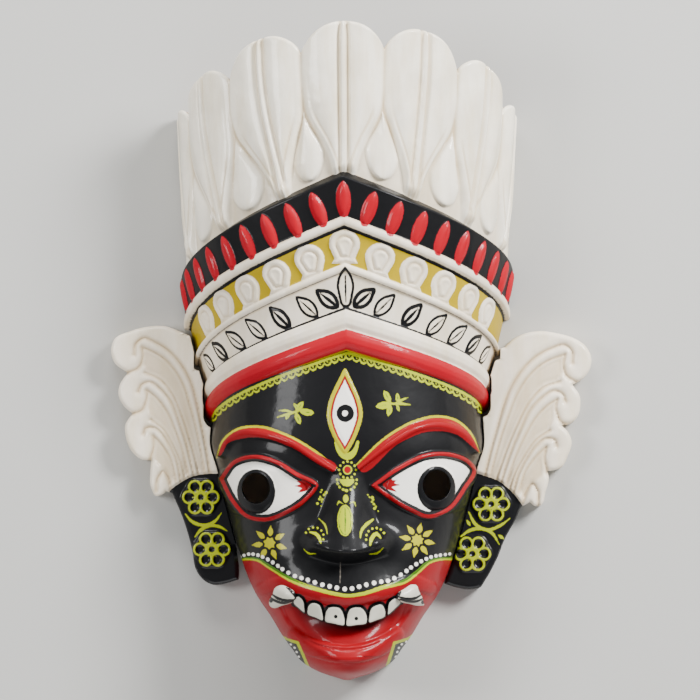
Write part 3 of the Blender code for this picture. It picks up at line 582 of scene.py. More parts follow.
class Canvas:
    """Layers of paint over mesh points, each a field of distances to its edge."""

    def __init__(self, x, y):
        self.x, self.y, self.layers = x, y, {}

    def put(self, layer, where, distance):
        field = self.layers.setdefault(layer, np.full(len(self.x), FAR))
        field[where] = np.minimum(field[where], distance)

    def near(self, path, reach):
        low, high = path.min(axis=0) - reach, path.max(axis=0) + reach
        inside = (self.x > low[0]) & (self.x < high[0]) & (self.y > low[1]) & (self.y < high[1])
        return np.flatnonzero(inside)

    def stroke(self, layer, points, half, straight=False):
        """Paint a stroke; half is one half width or several along the way."""
        half = np.atleast_1d(np.array(half, dtype=float))
        path = np.array(points, dtype=float)
        if not straight:
            path = even_path(points, 2.2)
        elif len(half) > len(path):
            place = np.linspace(0, len(path) - 1, 2 * len(half))
            path = np.column_stack([np.interp(place, range(len(path)), values) for values in path.T])
        halves = np.interp(np.linspace(0, 1, len(path)), np.linspace(0, 1, len(half)), half)
        where = self.near(path, FAR + half.max())
        self.put(layer, where, stroke_distance(self.x[where], self.y[where], path, halves))

    def edge(self, points, grow, curved):
        """The points near an area, and their distances to its edge."""
        path = even_path(points, 2.5, 8, True) if curved else np.array(points, dtype=float)
        where = self.near(path, FAR + max(grow, 0))
        return where, area_distance(self.x[where], self.y[where], path)

    def area(self, layer, points, grow=0.0, curved=True):
        """Paint an area, grown by some units."""
        where, distance = self.edge(points, grow, curved)
        self.put(layer, where, distance - grow)

    def ring(self, layer, points, inset, half, curved=True):
        """Paint a line along an area's edge, some units inside it."""
        where, distance = self.edge(points, 0, curved)
        self.put(layer, where, np.abs(distance + inset) - half)

    def dots(self, layer, centres, radius, upright=1.0):
        """Paint round dots."""
        for cx, cy in centres:
            where = self.near(np.array(((cx, cy),)), FAR + 2 * radius)
            far = np.hypot(self.x[where] - cx, (self.y[where] - cy) / upright)
            self.put(layer, where, far - radius)


# Meshes


def finish_mesh(name, verts, faces, slots, materials, flat=()):
    """An object from points and faces, with a material slot for each face."""
    mesh = bpy.data.meshes.new(name)
    mesh.from_pydata(verts.tolist(), [], faces)
    for material in materials:
        mesh.materials.append(material)
    mesh.polygons.foreach_set("material_index", np.array(slots, dtype=np.int32))
    even = np.ones(len(faces), dtype=bool)
    even[list(flat)] = False
    mesh.polygons.foreach_set("use_smooth", even)
    shape = bmesh.new()
    shape.from_mesh(mesh)
    bmesh.ops.recalc_face_normals(shape, faces=shape.faces)
    shape.to_mesh(mesh)
    shape.free()
    obj = bpy.data.objects.new(name, mesh)
    bpy.context.scene.collection.objects.link(obj)
    return obj


def loop_mesh(name, loops, outer, materials):
    """A closed skin through closed loops; points from outer on have the second material."""
    rows, count = loops.shape[:2]
    grid = np.arange(rows * count).reshape(rows, count)
    after = np.roll(grid, -1, axis=1)
    quads = np.stack((grid[:-1], after[:-1], after[1:], grid[1:]), axis=-1).reshape(-1, 4)
    column = np.tile(np.arange(count), rows - 1)
    slots = np.where(column < outer - 1, 0, 1).tolist() + [1, 1]
    faces = quads.tolist() + [grid[0].tolist(), grid[-1].tolist()]
    return finish_mesh(name, loops.reshape(-1, 3), faces, slots, materials,
                       flat=(len(faces) - 1, len(faces) - 2))


def join_meshes(name, shapes, materials):
    """One object from several closed skins."""
    verts, faces, start = [], [], 0
    for points, polygons in shapes:
        verts.append(points)
        faces += [[start + i for i in polygon] for polygon in polygons]
        start += len(points)
    return finish_mesh(name, np.vstack(verts), faces, [0] * len(faces), materials)


def filled(outline, spacing, margin):
    """Points and triangles that fill an outline, and the number of the point at each of its corners."""
    low, high = outline.min(axis=0), outline.max(axis=0)
    grid = np.meshgrid(np.arange(low[0], high[0], spacing), np.arange(low[1], high[1], spacing))
    gx, gy = (values.ravel() for values in grid)
    keep = area_distance(gx, gy, outline) < -margin
    points = np.vstack((outline, np.column_stack((gx[keep], gy[keep]))))
    edges = [(i, (i + 1) % len(outline)) for i in range(len(outline))]
    result = delaunay_2d_cdt([Vector(p) for p in points.tolist()], edges, [], 1, 0.0001)
    flat = np.array([tuple(p) for p in result[0]])
    corners = [int(np.argmin(np.hypot(flat[:, 0] - x, flat[:, 1] - y))) for x, y in outline]
    return flat, [list(f) for f in result[2]], corners


def closed_skin(top, below, triangles, corners):
    """Points and faces of a filled top, the walls down from its corners and a flat back."""
    start, count = len(top), len(below)
    walls = [[corners[i], corners[(i + 1) % count], start + (i + 1) % count, start + i]
             for i in range(count) if corners[i] != corners[(i + 1) % count]]
    return np.vstack((top, below)), triangles + walls + [[start + i for i in range(count)]]


def canvas_over(obj):
    """A canvas over an object's points."""
    co = np.empty(3 * len(obj.data.vertices))
    obj.data.vertices.foreach_get("co", co)
    x, y, _ = co.reshape(-1, 3).T
    return Canvas(x / UNIT + OUTLINE_CENTRE, MID_LINE - y / UNIT)


def outer_field(values, shape, inner):
    """A field over a loop mesh, with one value for its inner points."""
    field = np.full(shape, inner)
    field[:, :values.shape[1]] = values
    return field.ravel()


def dress(obj, layers, node):
    """Store the paint on a piece that rides the mask and takes the place of its solid."""
    for name, values in layers.items():
        attribute = obj.data.attributes.new(name, "FLOAT", "POINT")
        attribute.data.foreach_set("value", np.asarray(values, dtype=np.float32))
    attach(obj, "root")
    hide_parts(node)


# Materials


def linear(colour):
    """Scene colour of a screen colour."""
    parts = [c / 255 for c in colour]
    return (*[c / 12.92 if c <= 0.04045 else ((c + 0.055) / 1.055) ** 2.4 for c in parts], 1.0)


class Tree:
    """A short way to build a material's nodes."""

    def __init__(self, name):
        self.material = bpy.data.materials.new(name)
        self.material.use_nodes = True
        self.nodes = self.material.node_tree.nodes
        self.shader = self.nodes["Principled BSDF"]
        self.place = self.nodes.new("ShaderNodeTexCoord").outputs["Object"]

    def feed(self, socket, value):
        """Link an output to a socket, or give the socket a value."""
        if isinstance(value, bpy.types.NodeSocket):
            self.material.node_tree.links.new(value, socket)
        else:
            socket.default_value = value

    def add(self, kind, inputs):
        """A new node with its inputs fed."""
        node = self.nodes.new(kind)
        for name, value in inputs.items():
            self.feed(node.inputs[name], value)
        return node

    def noise(self, scale, detail=3.0, rough=0.55, stretch=(1, 1, 1)):
        mapping = self.add("ShaderNodeMapping", {"Scale": stretch, "Vector": self.place})
        return self.add("ShaderNodeTexNoise", {
            "Scale": scale, "Detail": detail, "Roughness": rough, "Vector": mapping.outputs["Vector"],
        }).outputs["Fac"]

    def value(self, name):
        node = self.add("ShaderNodeAttribute", {})
        node.attribute_name = name
        return node.outputs["Fac"]

    def sum(self, a, b, factor):
        node = self.add("ShaderNodeMath", {})
        node.operation = "MULTIPLY_ADD"
        for socket, value in zip(node.inputs, (b, factor, a)):
            self.feed(socket, value)
        return node.outputs[0]

    def ramp(self, value, low, high, start=0.0, end=1.0):
        return self.add("ShaderNodeMapRange", {
            "From Min": low, "From Max": high, "To Min": start, "To Max": end, "Value": value,
        }).outputs["Result"]

    def mix(self, below, above, factor):
        node = self.add("ShaderNodeMix", {})
        node.data_type = "RGBA"
        sockets = [s for s in node.inputs if s.type == "RGBA"]
        for socket, colour in zip(sockets, (below, above)):
            self.feed(socket, linear(colour) if isinstance(colour, tuple) else colour)
        self.feed(node.inputs["Factor"], factor)
        return [s for s in node.outputs if s.type == "RGBA"][0]

    def bump(self, height, strength, distance):
        node = self.add("ShaderNodeBump", {"Strength": strength, "Distance": distance, "Height": height})
        self.feed(self.shader.inputs["Normal"], node.outputs["Normal"])
        self.feed(self.shader.inputs["Coat Normal"], node.outputs["Normal"])


def painted(name, base, coats, groove_stain_and_shade=None, gloss=0.45, wobble=1.1, stain=None):
    """Painted wood under varnish: a base colour, where given a tan in grooves and clefts that is partly stain
    and partly painted shade, then coats of (layer, colour) one over another.
    """
    tree = Tree(name)
    worn = tree.ramp(tree.noise(38, 4), 0.35, 0.75)
    colour = tree.mix(base, tuple(int(0.92 * c) for c in base), worn)
    if stain:
        streaks = tree.noise(30, 4, 0.6, (3.2, 0.6, 1.5))
        colour = tree.mix(colour, stain, tree.ramp(streaks, 0.42, 0.78, 0, 0.75))
    # Tan in grooves and clefts: partly stain, partly painted shade
    if groove_stain_and_shade:
        colour = tree.mix(colour, groove_stain_and_shade, tree.ramp(tree.value("groove_stain_and_shade"), 0.0, 1.0))
    shake = tree.noise(420, 2)
    soft = 0.32
    for layer, paint in coats:
        # The painted mouth shade blends in softly, with no brush edge
        cover = tree.value(layer)
        if layer != "mouth_shade":
            edge = tree.sum(cover, shake, wobble)
            cover = tree.ramp(edge, 0.5 * wobble + soft, 0.5 * wobble - soft)
        colour = tree.mix(colour, paint, cover)
    tree.feed(tree.shader.inputs["Base Color"], colour)
    for socket, value in VARNISH.items():
        tree.shader.inputs[socket].default_value = value
    tree.shader.inputs["Coat Weight"].default_value = gloss
    tree.bump(tree.noise(90, 2, 0.45), 0.3, 0.0012)
    return tree.material


def bare_wood():
    """Unpainted wood of the hollow."""
    tree = Tree("bare_wood")
    grain = tree.noise(26, 6, 0.6, (6, 0.5, 6))
    colour = tree.mix(WOOD, WOOD_GRAIN, tree.ramp(grain, 0.3, 0.7))
    tree.feed(tree.shader.inputs["Base Color"], colour)
    tree.shader.inputs["Roughness"].default_value = 0.75
    tree.bump(grain, 0.4, 0.001)
    return tree.material


# Crown


def crown_loops(angles, outer_y, outer_radius, inner_top):
    """Closed loops down the front of the drum and up its hollow, one for each angle."""
    turn = np.radians(angles)[:, None]
    x = CENTRE_LINE + outer_radius * np.sin(turn)
    z = outer_radius * np.cos(turn) + BACK_TRIM * (1 - np.cos(turn) ** 2)
    inner_y = np.linspace(0, 1, INNER_ROWS)[None, ::-1] * (outer_y[:, -1:] - inner_top) + inner_top
    inner_x, inner_z = hollow_point(np.broadcast_to(turn, inner_y.shape), inner_y, 0.0)
    return np.concatenate((to_metres(x, outer_y, z), to_metres(inner_x, inner_y, inner_z)), axis=1)


def feather_tops(angles):
    """Drawing height of the scalloped top edge."""
    place = np.interp(angles, RIB_TIPS, range(len(RIB_TIPS)))
    from_rib = np.clip(2 * np.abs(place - np.round(place)), 0, 1)
    dip = TIP_DEPTH * (1 - (1 - from_rib ** 2.3) ** 0.75)
    tips = smooth(np.column_stack((range(len(RIB_TIPS)), TIP_HEIGHTS)), place)
    return np.maximum(tips, CROWN_TIP_Y) + dip


def feather_relief(angles, down):
    """Height of the carved feathers and of the drops between their feet, and the tan of their grooves and
    clefts, partly stain and partly painted shade.
    """
    indices = np.arange(len(RIB_TIPS)) - len(RIB_TIPS) // 2
    height, groove_stain_and_shade = np.zeros((len(angles), len(down))), np.zeros((len(angles), len(down)))
    for j, reach in enumerate(down):
        ribs = RIB_TIPS + np.subtract(RIB_FEET, RIB_TIPS) * ease((reach - 0.1) / 1.1) ** 1.1
        place = np.interp(angles, ribs, indices)
        nearest = np.round(place)
        rib = np.interp(nearest, indices, ribs)
        valley = np.interp(nearest + 0.5 * np.where(place < nearest, -1, 1), indices, ribs)
        across, half = np.abs(angles - rib) * FEATHER_ARC, np.abs(valley - rib) * FEATHER_ARC
        middle = np.where(nearest == 0, 1.0, 0.0)
        narrow, last = [smooth(SLIM_FEATHER, r) + (smooth(WIDE_FEATHER, r) - smooth(SLIM_FEATHER, r)) * middle
                        for r in (reach, 0.8)]
        width = half * narrow
        side = np.clip(across / width, 0, 1)
        edge = width - across
        body = 8.6 * (0.6 + 0.4 * np.sin(math.pi * side / 0.96)) * (1 - side ** 2.6) ** 0.55
        rib_half = np.interp(reach, (0, 0.1, 1), (2.4, 3.6, 3.6))
        ridge = 3.0 * ease(1.3 * (1 - across / rib_half)) * np.interp(reach, (0, 0.03), (0.4, 1))
        furrow = 2.6 * ease(1.4 * (1 - np.abs(across - rib_half - 1.0) / 3.0))
        border = 1.6 * bump_shape(edge - 4.0, 2.6) * np.interp(reach, (0, 0.4, 0.6, 1), (0, 0.2, 1, 0.9))
        feather = np.where(edge > 0, body + ridge - furrow + border, 0)
        round_foot = np.sqrt(np.clip(1 - (max(reach - 0.8, 0) / 0.16) ** 2, 0, 1))
        limit = (half * (1 - last) - 1.2) * round_foot if reach > 0.8 else 99.0
        drop_half = np.minimum(half * (1 - narrow) - 1.2, limit)
        swell = np.clip(1 - ((half - across) / np.maximum(drop_half, 0.3)) ** 2, 0, 1) ** 0.7
        drop = np.where(drop_half > 0.3, 5.2 * swell * np.clip(drop_half / 7, 0, 1) ** 0.6, 0)
        height[:, j] = np.maximum(feather, drop) * (1 - 0.8 * ease((reach - 0.93) / 0.09))
        # Tan darkens the clefts and the grooves beside ribs and edges: partly stain, partly painted shade
        cleft = np.clip(1 - height[:, j] / 2.4, 0, 1)
        beside_rib = 0.5 * ease(1.2 * (1 - np.abs(across - rib_half - 0.6) / 2.2))
        beside_edge = 0.5 * bump_shape(edge - 7.6, 1.4) * ease((reach - 0.45) / 0.15)
        groove = np.maximum(beside_rib, beside_edge) * (edge > 0)
        groove_stain_and_shade[:, j] = np.maximum((0.75 - 0.4 * ease((reach - 0.6) / 0.2)) * cleft, groove)
    return height, groove_stain_and_shade


def make_feathers(materials):
    """The tall scalloped crown of seven feathers."""
    angles = np.linspace(-90, 90, FEATHER_COLUMNS)
    down = runs_of(FEATHER_RUNS)
    tops = feather_tops(angles)[:, None]
    base = FEATHER_BASE_Y + crown_fall(angles, BAND_ROWS[0][1])[:, None]
    y = tops + (base - tops) * down[None, :]
    relief, groove_stain_and_shade = feather_relief(angles, down)
    edge = TIP_EDGE * rounding(down / TIP_ROUNDING)
    taper = (FEATHER_BASE_RADIUS - FEATHER_TOP_RADIUS) * np.minimum(down, 1)
    radius = FEATHER_TOP_RADIUS + taper + relief - FEATHER_SINK - edge[None, :]
    loops = crown_loops(angles, y, radius, tops + HOLLOW_DROP)
    obj = loop_mesh("mask_feathers", loops, y.shape[1], materials)
    dress(obj, {"groove_stain_and_shade": outer_field(groove_stain_and_shade, loops.shape[:2], 0.0)}, "mask_body")


def leaned(centre_angle, row, points, lean=0.0):
    """Motif points about a place on the bands, leaning outward from the middle."""
    lean = lean * np.sign(centre_angle)
    fall = np.interp(row, [r[0] for r in BAND_ROWS], [r[1] for r in BAND_ROWS])
    cx, cy = centre_angle * ARC_PER_DEGREE, row + float(crown_fall(np.array(centre_angle), fall))
    cos, sin = math.cos(lean), math.sin(lean)
    return [(cx + u * cos - v * sin, cy + u * sin + v * cos) for u, v in points]


def motif_row(count, pitch, row, outline, lean):
    """One motif repeated over the bands, the same number on both sides of the middle."""
    return [np.array(leaned(i * pitch, row, outline, lean)) for i in range(-(count // 2), count // 2 + 1)]


def signed_motifs(x, y, motifs, reach):
    """Distance to the nearest of several areas."""
    field = np.full(x.shape, reach, dtype=float)
    for path in motifs:
        low, high = path.min(axis=0) - reach, path.max(axis=0) + reach
        near = (x > low[0]) & (x < high[0]) & (y > low[1]) & (y < high[1])
        field[near] = np.minimum(field[near], area_distance(x[near], y[near], path))
    return field


def band_profile(row):
    """Radius of the bands at a row, with softened corners."""
    rows, _, radii = np.array(BAND_ROWS).T
    spread = np.linspace(-1.2, 1.2, 7)
    weight = np.exp(-(spread / 0.7) ** 2)
    read = [w * np.interp(row + s, rows, radii) for s, w in zip(spread, weight)]
    return sum(read) / weight.sum()


def make_bands(materials):
    """The black, yellow and leaf bands and the two rolls."""
    angles = np.linspace(-90, 90, BAND_COLUMNS)
    angle, row = np.meshgrid(angles, runs_of(BAND_RUNS), indexing="ij")
    strength = np.interp(row, (173, 306, 351), (1.0, 0.3, 0.2))
    own = angle - CROWN_TURN * strength * (1 - (angle / 90) ** 2)
    y = row + crown_fall(own, np.interp(row, *np.array(BAND_ROWS).T[:2]))
    u = own * ARC_PER_DEGREE
    petals = motif_row(PETAL_COUNT, PETAL_PITCH, PETAL_ROW, PETAL_OUTLINE, PETAL_LEAN)
    petal = signed_motifs(u, y, [smooth_path(p, 26, True) for p in petals], 9.0)
    turns = [math.radians(d) for d in range(-120, 121, 16)]
    keyhole = [*ARCH_FOOT, *[(ARCH_HEAD[0] * math.sin(a), -ARCH_HEAD[1] * math.cos(a)) for a in turns],
               *[(-foot_x, foot_y) for foot_x, foot_y in ARCH_FOOT[::-1]]]
    arch = signed_motifs(u, y, motif_row(ARCH_COUNT, ARCH_PITCH, ARCH_ROW, keyhole, ARCH_LEAN), 12.0)
    arch = np.where(row > YELLOW_END + 0.5, np.abs(row - 267) - 4, arch)
    relief = KEEL_RISE * np.clip(1 - np.abs(own) / KEEL_ANGLE, 0, 1)
    swell = np.clip(-petal / 6.0, 0, 1)
    relief += 3.7 * swell * (2 - swell) * (row < BLACK_END)
    in_arch = (arch < 0) & (row < YELLOW_END)
    steps = 2.3 * ease(-arch / 2.0) * (1 - 0.75 * ease((-arch - 4.6) / 1.8))
    steps = steps + 2.3 * ease((-arch - 7.2) / 2.2) * (1 - 0.3 * ease((-arch - 10) / 3))
    relief += np.where(in_arch, steps * ease((YELLOW_END + 0.5 - row) / 4), 0)
    canvas = Canvas(u.ravel(), y.ravel())
    leaf = paint_bands(canvas, row.ravel(), petal.ravel(), arch.ravel())
    radius = band_profile(row) + relief + 0.7 * ease(-leaf.reshape(row.shape) / 2.5)
    loops = crown_loops(angles, y, radius, y[:, :1])
    obj = loop_mesh("mask_bands", loops, row.shape[1], materials)
    # Tan in the arch grooves and under the band ledges: partly stain, partly painted shade
    groove_stain_and_shade = 0.8 * np.clip(1 - np.abs(arch + 6.8) / 1.6, 0, 1) * in_arch
    for line, half in CLEFT_STAIN_AND_SHADE:
        groove_stain_and_shade = np.maximum(groove_stain_and_shade, np.clip(1 - np.abs(row - line) / half, 0, 1))
    fields = {name: outer_field(values.reshape(row.shape), loops.shape[:2], FAR)
              for name, values in canvas.layers.items()}
    fields["groove_stain_and_shade"] = outer_field(0.6 * groove_stain_and_shade, loops.shape[:2], 0.0)
    dress(obj, fields, "mask_body")


def paint_bands(canvas, row, petal, arch):
    """Colours of the bands; gives back the distance to the painted leaves."""
    everywhere = slice(None)
    for layer, line, half in BAND_LINES:
        canvas.put(layer, everywhere, np.abs(row - line) - half)
    for layer, distance in (
        ("black", row - BLACK_END - 0.2), ("roll", RED_ROLL_START - row), ("lower", LOWER_EDGE_START - row),
        ("yellow", np.maximum(np.abs(row - YELLOW_ROW[0]) - YELLOW_ROW[1], -arch)), ("red", petal),
    ):
        canvas.put(layer, everywhere, np.clip(distance, -FAR, FAR))
    leaf = np.full(len(row), FAR)
    shapes = [(np.array(MIDDLE_LEAF, dtype=float), ((0, 276), (0, 302)), False)]
    for base_angle, base_row, tip_angle, tip_row, thick in LEAVES:
        for side in (-1, 1):
            foot, tip = [np.array(leaned(side * a, r, ((0, 0),))[0])
                         for a, r in ((base_angle, base_row), (tip_angle, tip_row))]
            along = tip - foot
            across = np.array((-along[1], along[0])) / np.linalg.norm(along)
            path = [foot] + [foot + along * t + across * w for t, w in LEAF_WIDTHS] + [tip]
            path += [foot + along * t - across * w for t, w in reversed(LEAF_WIDTHS)]
            shapes.append((np.array(path), (foot + along * 0.14, foot + along * 0.8), thick))
    for path, vein, thick in shapes:
        ring = smooth_path(path, 30, True)
        where = canvas.near(ring, FAR)
        distance = area_distance(canvas.x[where], canvas.y[where], ring)
        canvas.put("black", where, np.abs(distance + 0.6) - (2.0 if thick else 1.45))
        leaf[where] = np.minimum(leaf[where], distance)
        canvas.stroke("black", vein, (1.5, 2.1, 0.6) if thick else (0.7, 1.2, 0.5), straight=True)
    return leaf


# Face


def face_relief(x, y):
    """Rise of the carved details square to the face, and the mouth's depth straight back."""
    def to_line(points, count):
        return line_distance(x, y, smooth_path(points, count))

    def to_area(points, count):
        return area_distance(x, y, smooth_path(points, count, True))

    brows = [to_line(brow, 24) / np.interp(x, [float(p[0]) for p in brow], halves) for brow, halves in
             ((BROW_LEFT, BROW_HALF_WIDTHS), (BROW_RIGHT, BROW_HALF_WIDTHS[::-1]))]
    rise = 4.6 * ease(1.25 * (1 - np.minimum(*brows)))
    for rim, pupil in ((RIM_LEFT, PUPIL_LEFT), (RIM_RIGHT, PUPIL_RIGHT)):
        lid = 4.0 * ease(1.3 * (1 - np.abs(to_area(rim, 40) + 2.2) / 4.2))
        around = np.hypot((x - pupil[0]) / 19.0, (y - pupil[1]) / 22.0)
        iris = 3.6 * np.sqrt(np.clip(1 - around ** 2, 0, 1)) ** 0.5
        rise = np.maximum(np.maximum(rise, lid), np.where(around < 1, iris, 0))
    rise = np.maximum(rise, 4.4 * bump_shape(to_line(LOWER_LIP, 24), 6.6))
    eye = to_area(THIRD_EYE, 30)
    rise = rise + 1.0 * bump_shape(eye + 1.5, 2.6) + 0.8 * ease(-(eye + 4) / 3)
    rise = rise + 2.0 * bump_shape(to_line(UPPER_LIP, 40), 7.0)
    rise = rise - 2.2 * ease(-to_area(MOUTH_EDGE, 44) / 2.5)
    mouth = to_area(GUM_LINE + MOUTH_EDGE[7:], 60)
    floor = to_line(MOUTH_EDGE[6:] + MOUTH_EDGE[:1], 40)
    scoop = np.where(mouth < 0, ease(-mouth / 3) * (0.2 * ease(floor / 4) + 0.8 * ease(floor / 26)), 0)
    return rise, -MOUTH_DEPTH / UNIT * scoop


def face_grid():
    """Drawing x and y of the face's points, row by row from side to side."""
    rows = runs_of(FACE_RUNS)
    half, _, power = (values[:, None] for values in face_form(rows))
    front = np.linspace(-FRONT_SHARE, FRONT_SHARE, FACE_COLUMNS)[None, :]
    edge = (1 - FRONT_SHARE ** power) ** (1 / power)
    fractions = edge * np.linspace(0, 1, FACE_SIDE_COLUMNS)[None, :-1]
    side = (1 - fractions ** power) ** (1 / power)
    front = np.broadcast_to(front, (len(rows), FACE_COLUMNS))
    x = CENTRE_LINE + half * np.concatenate((-side, front, side[:, ::-1]), axis=1)
    return x, np.broadcast_to(rows[:, None], x.shape)


def make_face(materials):
    """The face from under the brow band to the chin, hollow behind, with see-through pupils."""
    x, y = face_grid()
    outer = face_point(x, y, *face_relief(x, y))
    rows = y[:, :1]
    turn = np.linspace(0.5 * math.pi, -0.5 * math.pi, INNER_COLUMNS)
    inner_x, inner_z = hollow_point(turn[None, :], np.broadcast_to(rows, (len(rows), INNER_COLUMNS)), 0.3)
    inner_z = np.where(rows < CHIN_Y - 1.05 * WALL / UNIT, inner_z, 0)
    inner_x = np.clip(inner_x, x.min(axis=1)[:, None] + 2, x.max(axis=1)[:, None] - 2)
    loops = np.concatenate((outer, to_metres(inner_x, rows, inner_z)), axis=1)
    obj = loop_mesh("mask_face", loops, x.shape[1], materials)
    cutter = eye_cutter()
    boolean = obj.modifiers.new("eye_holes", "BOOLEAN")
    boolean.object = cutter
    boolean.operation = "DIFFERENCE"
    boolean.solver = "MANIFOLD"
    bpy.context.view_layer.update()
    mesh = bpy.data.meshes.new_from_object(obj.evaluated_get(bpy.context.evaluated_depsgraph_get()))
    obj.modifiers.clear()
    obj.data = mesh
    bpy.data.objects.remove(cutter)
    canvas = canvas_over(obj)
    for paint in (paint_brow_band, paint_eyes, paint_nose, paint_cheeks, paint_mouth):
        paint(canvas)
    dress(obj, canvas.layers, "mask_body")


def eye_cutter():
    """Two elliptic bars through the pupils."""
    shape = bmesh.new()
    for hole in (EYE_HOLE_LEFT, EYE_HOLE_RIGHT):
        x, y, _ = to_metres(*hole, 0.0)
        made = bmesh.ops.create_cone(shape, cap_ends=True, segments=40, radius1=0.5, radius2=0.5, depth=0.5)
        bmesh.ops.scale(shape, vec=(EYE_HOLE_WIDTH, EYE_HOLE_HEIGHT, 1), verts=made["verts"])
        bmesh.ops.translate(shape, vec=(x, y, 0), verts=made["verts"])
    mesh = bpy.data.meshes.new("eye_cutter")
    shape.to_mesh(mesh)
    shape.free()
    obj = bpy.data.objects.new("eye_cutter", mesh)
    bpy.context.scene.collection.objects.link(obj)
    return obj


def paint_brow_band(canvas):
    """Yellow line with hanging scallops under the red roll."""
    angles = np.linspace(-80, 80, 90)
    path = np.column_stack((CENTRE_LINE + 139 * np.sin(np.radians(angles)),
                            352.6 + crown_fall(angles, LEAF_BAND_FALL)))
    canvas.stroke("yellow", path, 1.3, straight=True)
    lengths = lengths_along(path)
    places = np.arange(4, lengths[-1], 7.6)
    for cx, cy in zip(*[np.interp(places, lengths, values) for values in path.T]):
        arc = [(cx + 3.5 * math.cos(a), cy + 2.2 + 3.9 * math.sin(a)) for a in np.linspace(0, math.pi, 7)]
        canvas.stroke("yellow", arc, (0.6, 1.0, 0.6))
        canvas.dots("yellow", ((cx, cy + 2.6),), 0.8)


def paint_eyes(canvas):
    """Red brows with a yellow line above, red rims, white eyeballs, black pupils and the third eye."""
    for brow, halves in ((RED_BROW_LEFT, (0.5, 1.3, 1.5, 1.5, 1.4, 1.3, 0.7)),
                         (RED_BROW_RIGHT, (0.7, 1.3, 1.4, 1.5, 1.5, 1.3, 0.5))):
        canvas.area("red", brow, -0.6)
        canvas.stroke("gold", [(x, y - 0.4) for x, y in brow[:7]], halves)
    sides = ((RIM_LEFT, (256.3, 491.5), (309.5, 485.5), -1), (RIM_RIGHT, (436.3, 488.5), (384.5, 484.5), 1))
    for rim, pupil, corner, side in sides:
        canvas.area("white", rim, -6.2)
        canvas.ring("red", rim, 1.8, 2.0)
        canvas.ring("black", rim, 5.3, 1.5)
        canvas.stroke("black", ((corner[0] - 6 * side, corner[1]), corner), (1.2, 3.0), straight=True)
        for dx, dy in ((13, -5), (15, 0), (12, 7), (8, -6), (7, 6)):
            tip = (corner[0] + side * dx, corner[1] + dy)
            canvas.stroke("second_red", (corner, tip), (1.8, 2.0, 0.2), straight=True)
        canvas.dots("black", (pupil,), 19.3, upright=1.17)
    canvas.ring("gold", THIRD_EYE, 0.4, 2.0)
    canvas.ring("red", THIRD_EYE, 3.3, 1.1)
    canvas.area("white", THIRD_EYE, -4.2)
    canvas.dots("black", ((345.3, 413),), 8.8)
    canvas.dots("second_white", ((345, 413),), 2.9)


def paint_nose(canvas):
    """Yellow ornament down the nose and on its wings, and a painted highlight down the ridge under the nose.
    """
    for points, halves in NOSE_STROKES:
        canvas.stroke("yellow", points, halves)
    for *arc, radius in NOSE_DOT_ARCS:
        canvas.dots("yellow", round_dots(*arc), radius)
    canvas.dots("yellow", ((347.5, 469.4),), 4.6)
    canvas.dots("second_red", ((347.5, 469.4),), 3.4)
    half_disc = [(340.3, 478.6), *round_dots((347, 478.6), 7.4, 180, 0, 9), (353.8, 478.6)]
    canvas.area("yellow", half_disc, curved=False)
    canvas.dots("yellow", ((346.4, 490),), 1.6)
    canvas.dots("yellow", ((345.8, 498),), 2.7, upright=1.5)
    turns = np.linspace(0, 2 * math.pi, 20, endpoint=False)
    oval = [(345 + 7.7 * math.cos(a), 519.6 + 15.6 * math.sin(a)) for a in turns]
    canvas.area("yellow", oval)
    canvas.stroke("vein", ((345, 507), (345.4, 520), (345, 532)), (0.3, 0.8, 0.3))
    canvas.ring("vein", oval, 1.6, 0.35)
    for cx, cy, lean in ((321.6, 497, -2.5), (373, 502, 3.0)):
        for i in range(5):
            for k in (-1, 1):
                spot = (cx + lean * (i - 2) / 2 + 1.6 * k + 0.7 * math.sin(5 * i + k),
                        cy + 3.4 * (i - 2) + 1.3 * k + 0.6 * math.cos(3 * i))
                canvas.dots("yellow", (spot,), 1.2 + 0.3 * math.sin(7 * i + 2 * k))
    # Painted highlight: a grey line down the ridge between nose and lip
    canvas.stroke("highlight_and_shadow_line", ((340.5, 561), (340.3, 571), (340, 582)), (0.2, 0.5, 0.4))


def paint_cheeks(canvas):
    """A flower on each cheek and a sprig over each brow."""
    for cx, cy, count, turn in CHEEK_FLOWERS:
        star = []
        for i in range(2 * count):
            a, reach = math.pi * i / count + turn, 6.6 if i % 2 else 4.6
            star.append((cx + reach * math.cos(a), cy + reach * math.sin(a)))
        canvas.area("gold", star, curved=False)
        for i in range(count):
            a = 2 * math.pi * i / count + turn
            inner = (cx + 8.8 * math.cos(a), cy + 8.8 * math.sin(a))
            outer = (cx + 18.5 * math.cos(a), cy + 17.5 * math.sin(a))
            canvas.stroke("gold", (inner, outer), (1.7, 2.9, 2.0, 1.0, 0.3), straight=True)
    for stem, twig, leaves in SPRIGS:
        canvas.stroke("yellow", stem, (0.6, 1.3, 1.0))
        canvas.stroke("yellow", twig, (0.5, 1.2, 0.7))
        for start, stop in leaves:
            long = math.hypot(stop[0] - start[0], stop[1] - start[1])
            canvas.stroke("yellow", (start, stop), (0.6, 0.24 * long, 0.22 * long, 0.3), straight=True)
            vein = [[(1 - t) * a + t * b for a, b in zip(start, stop)] for t in (0.3, 0.75)]
            canvas.stroke("vein", vein, (0.25, 0.45, 0.2), straight=True)


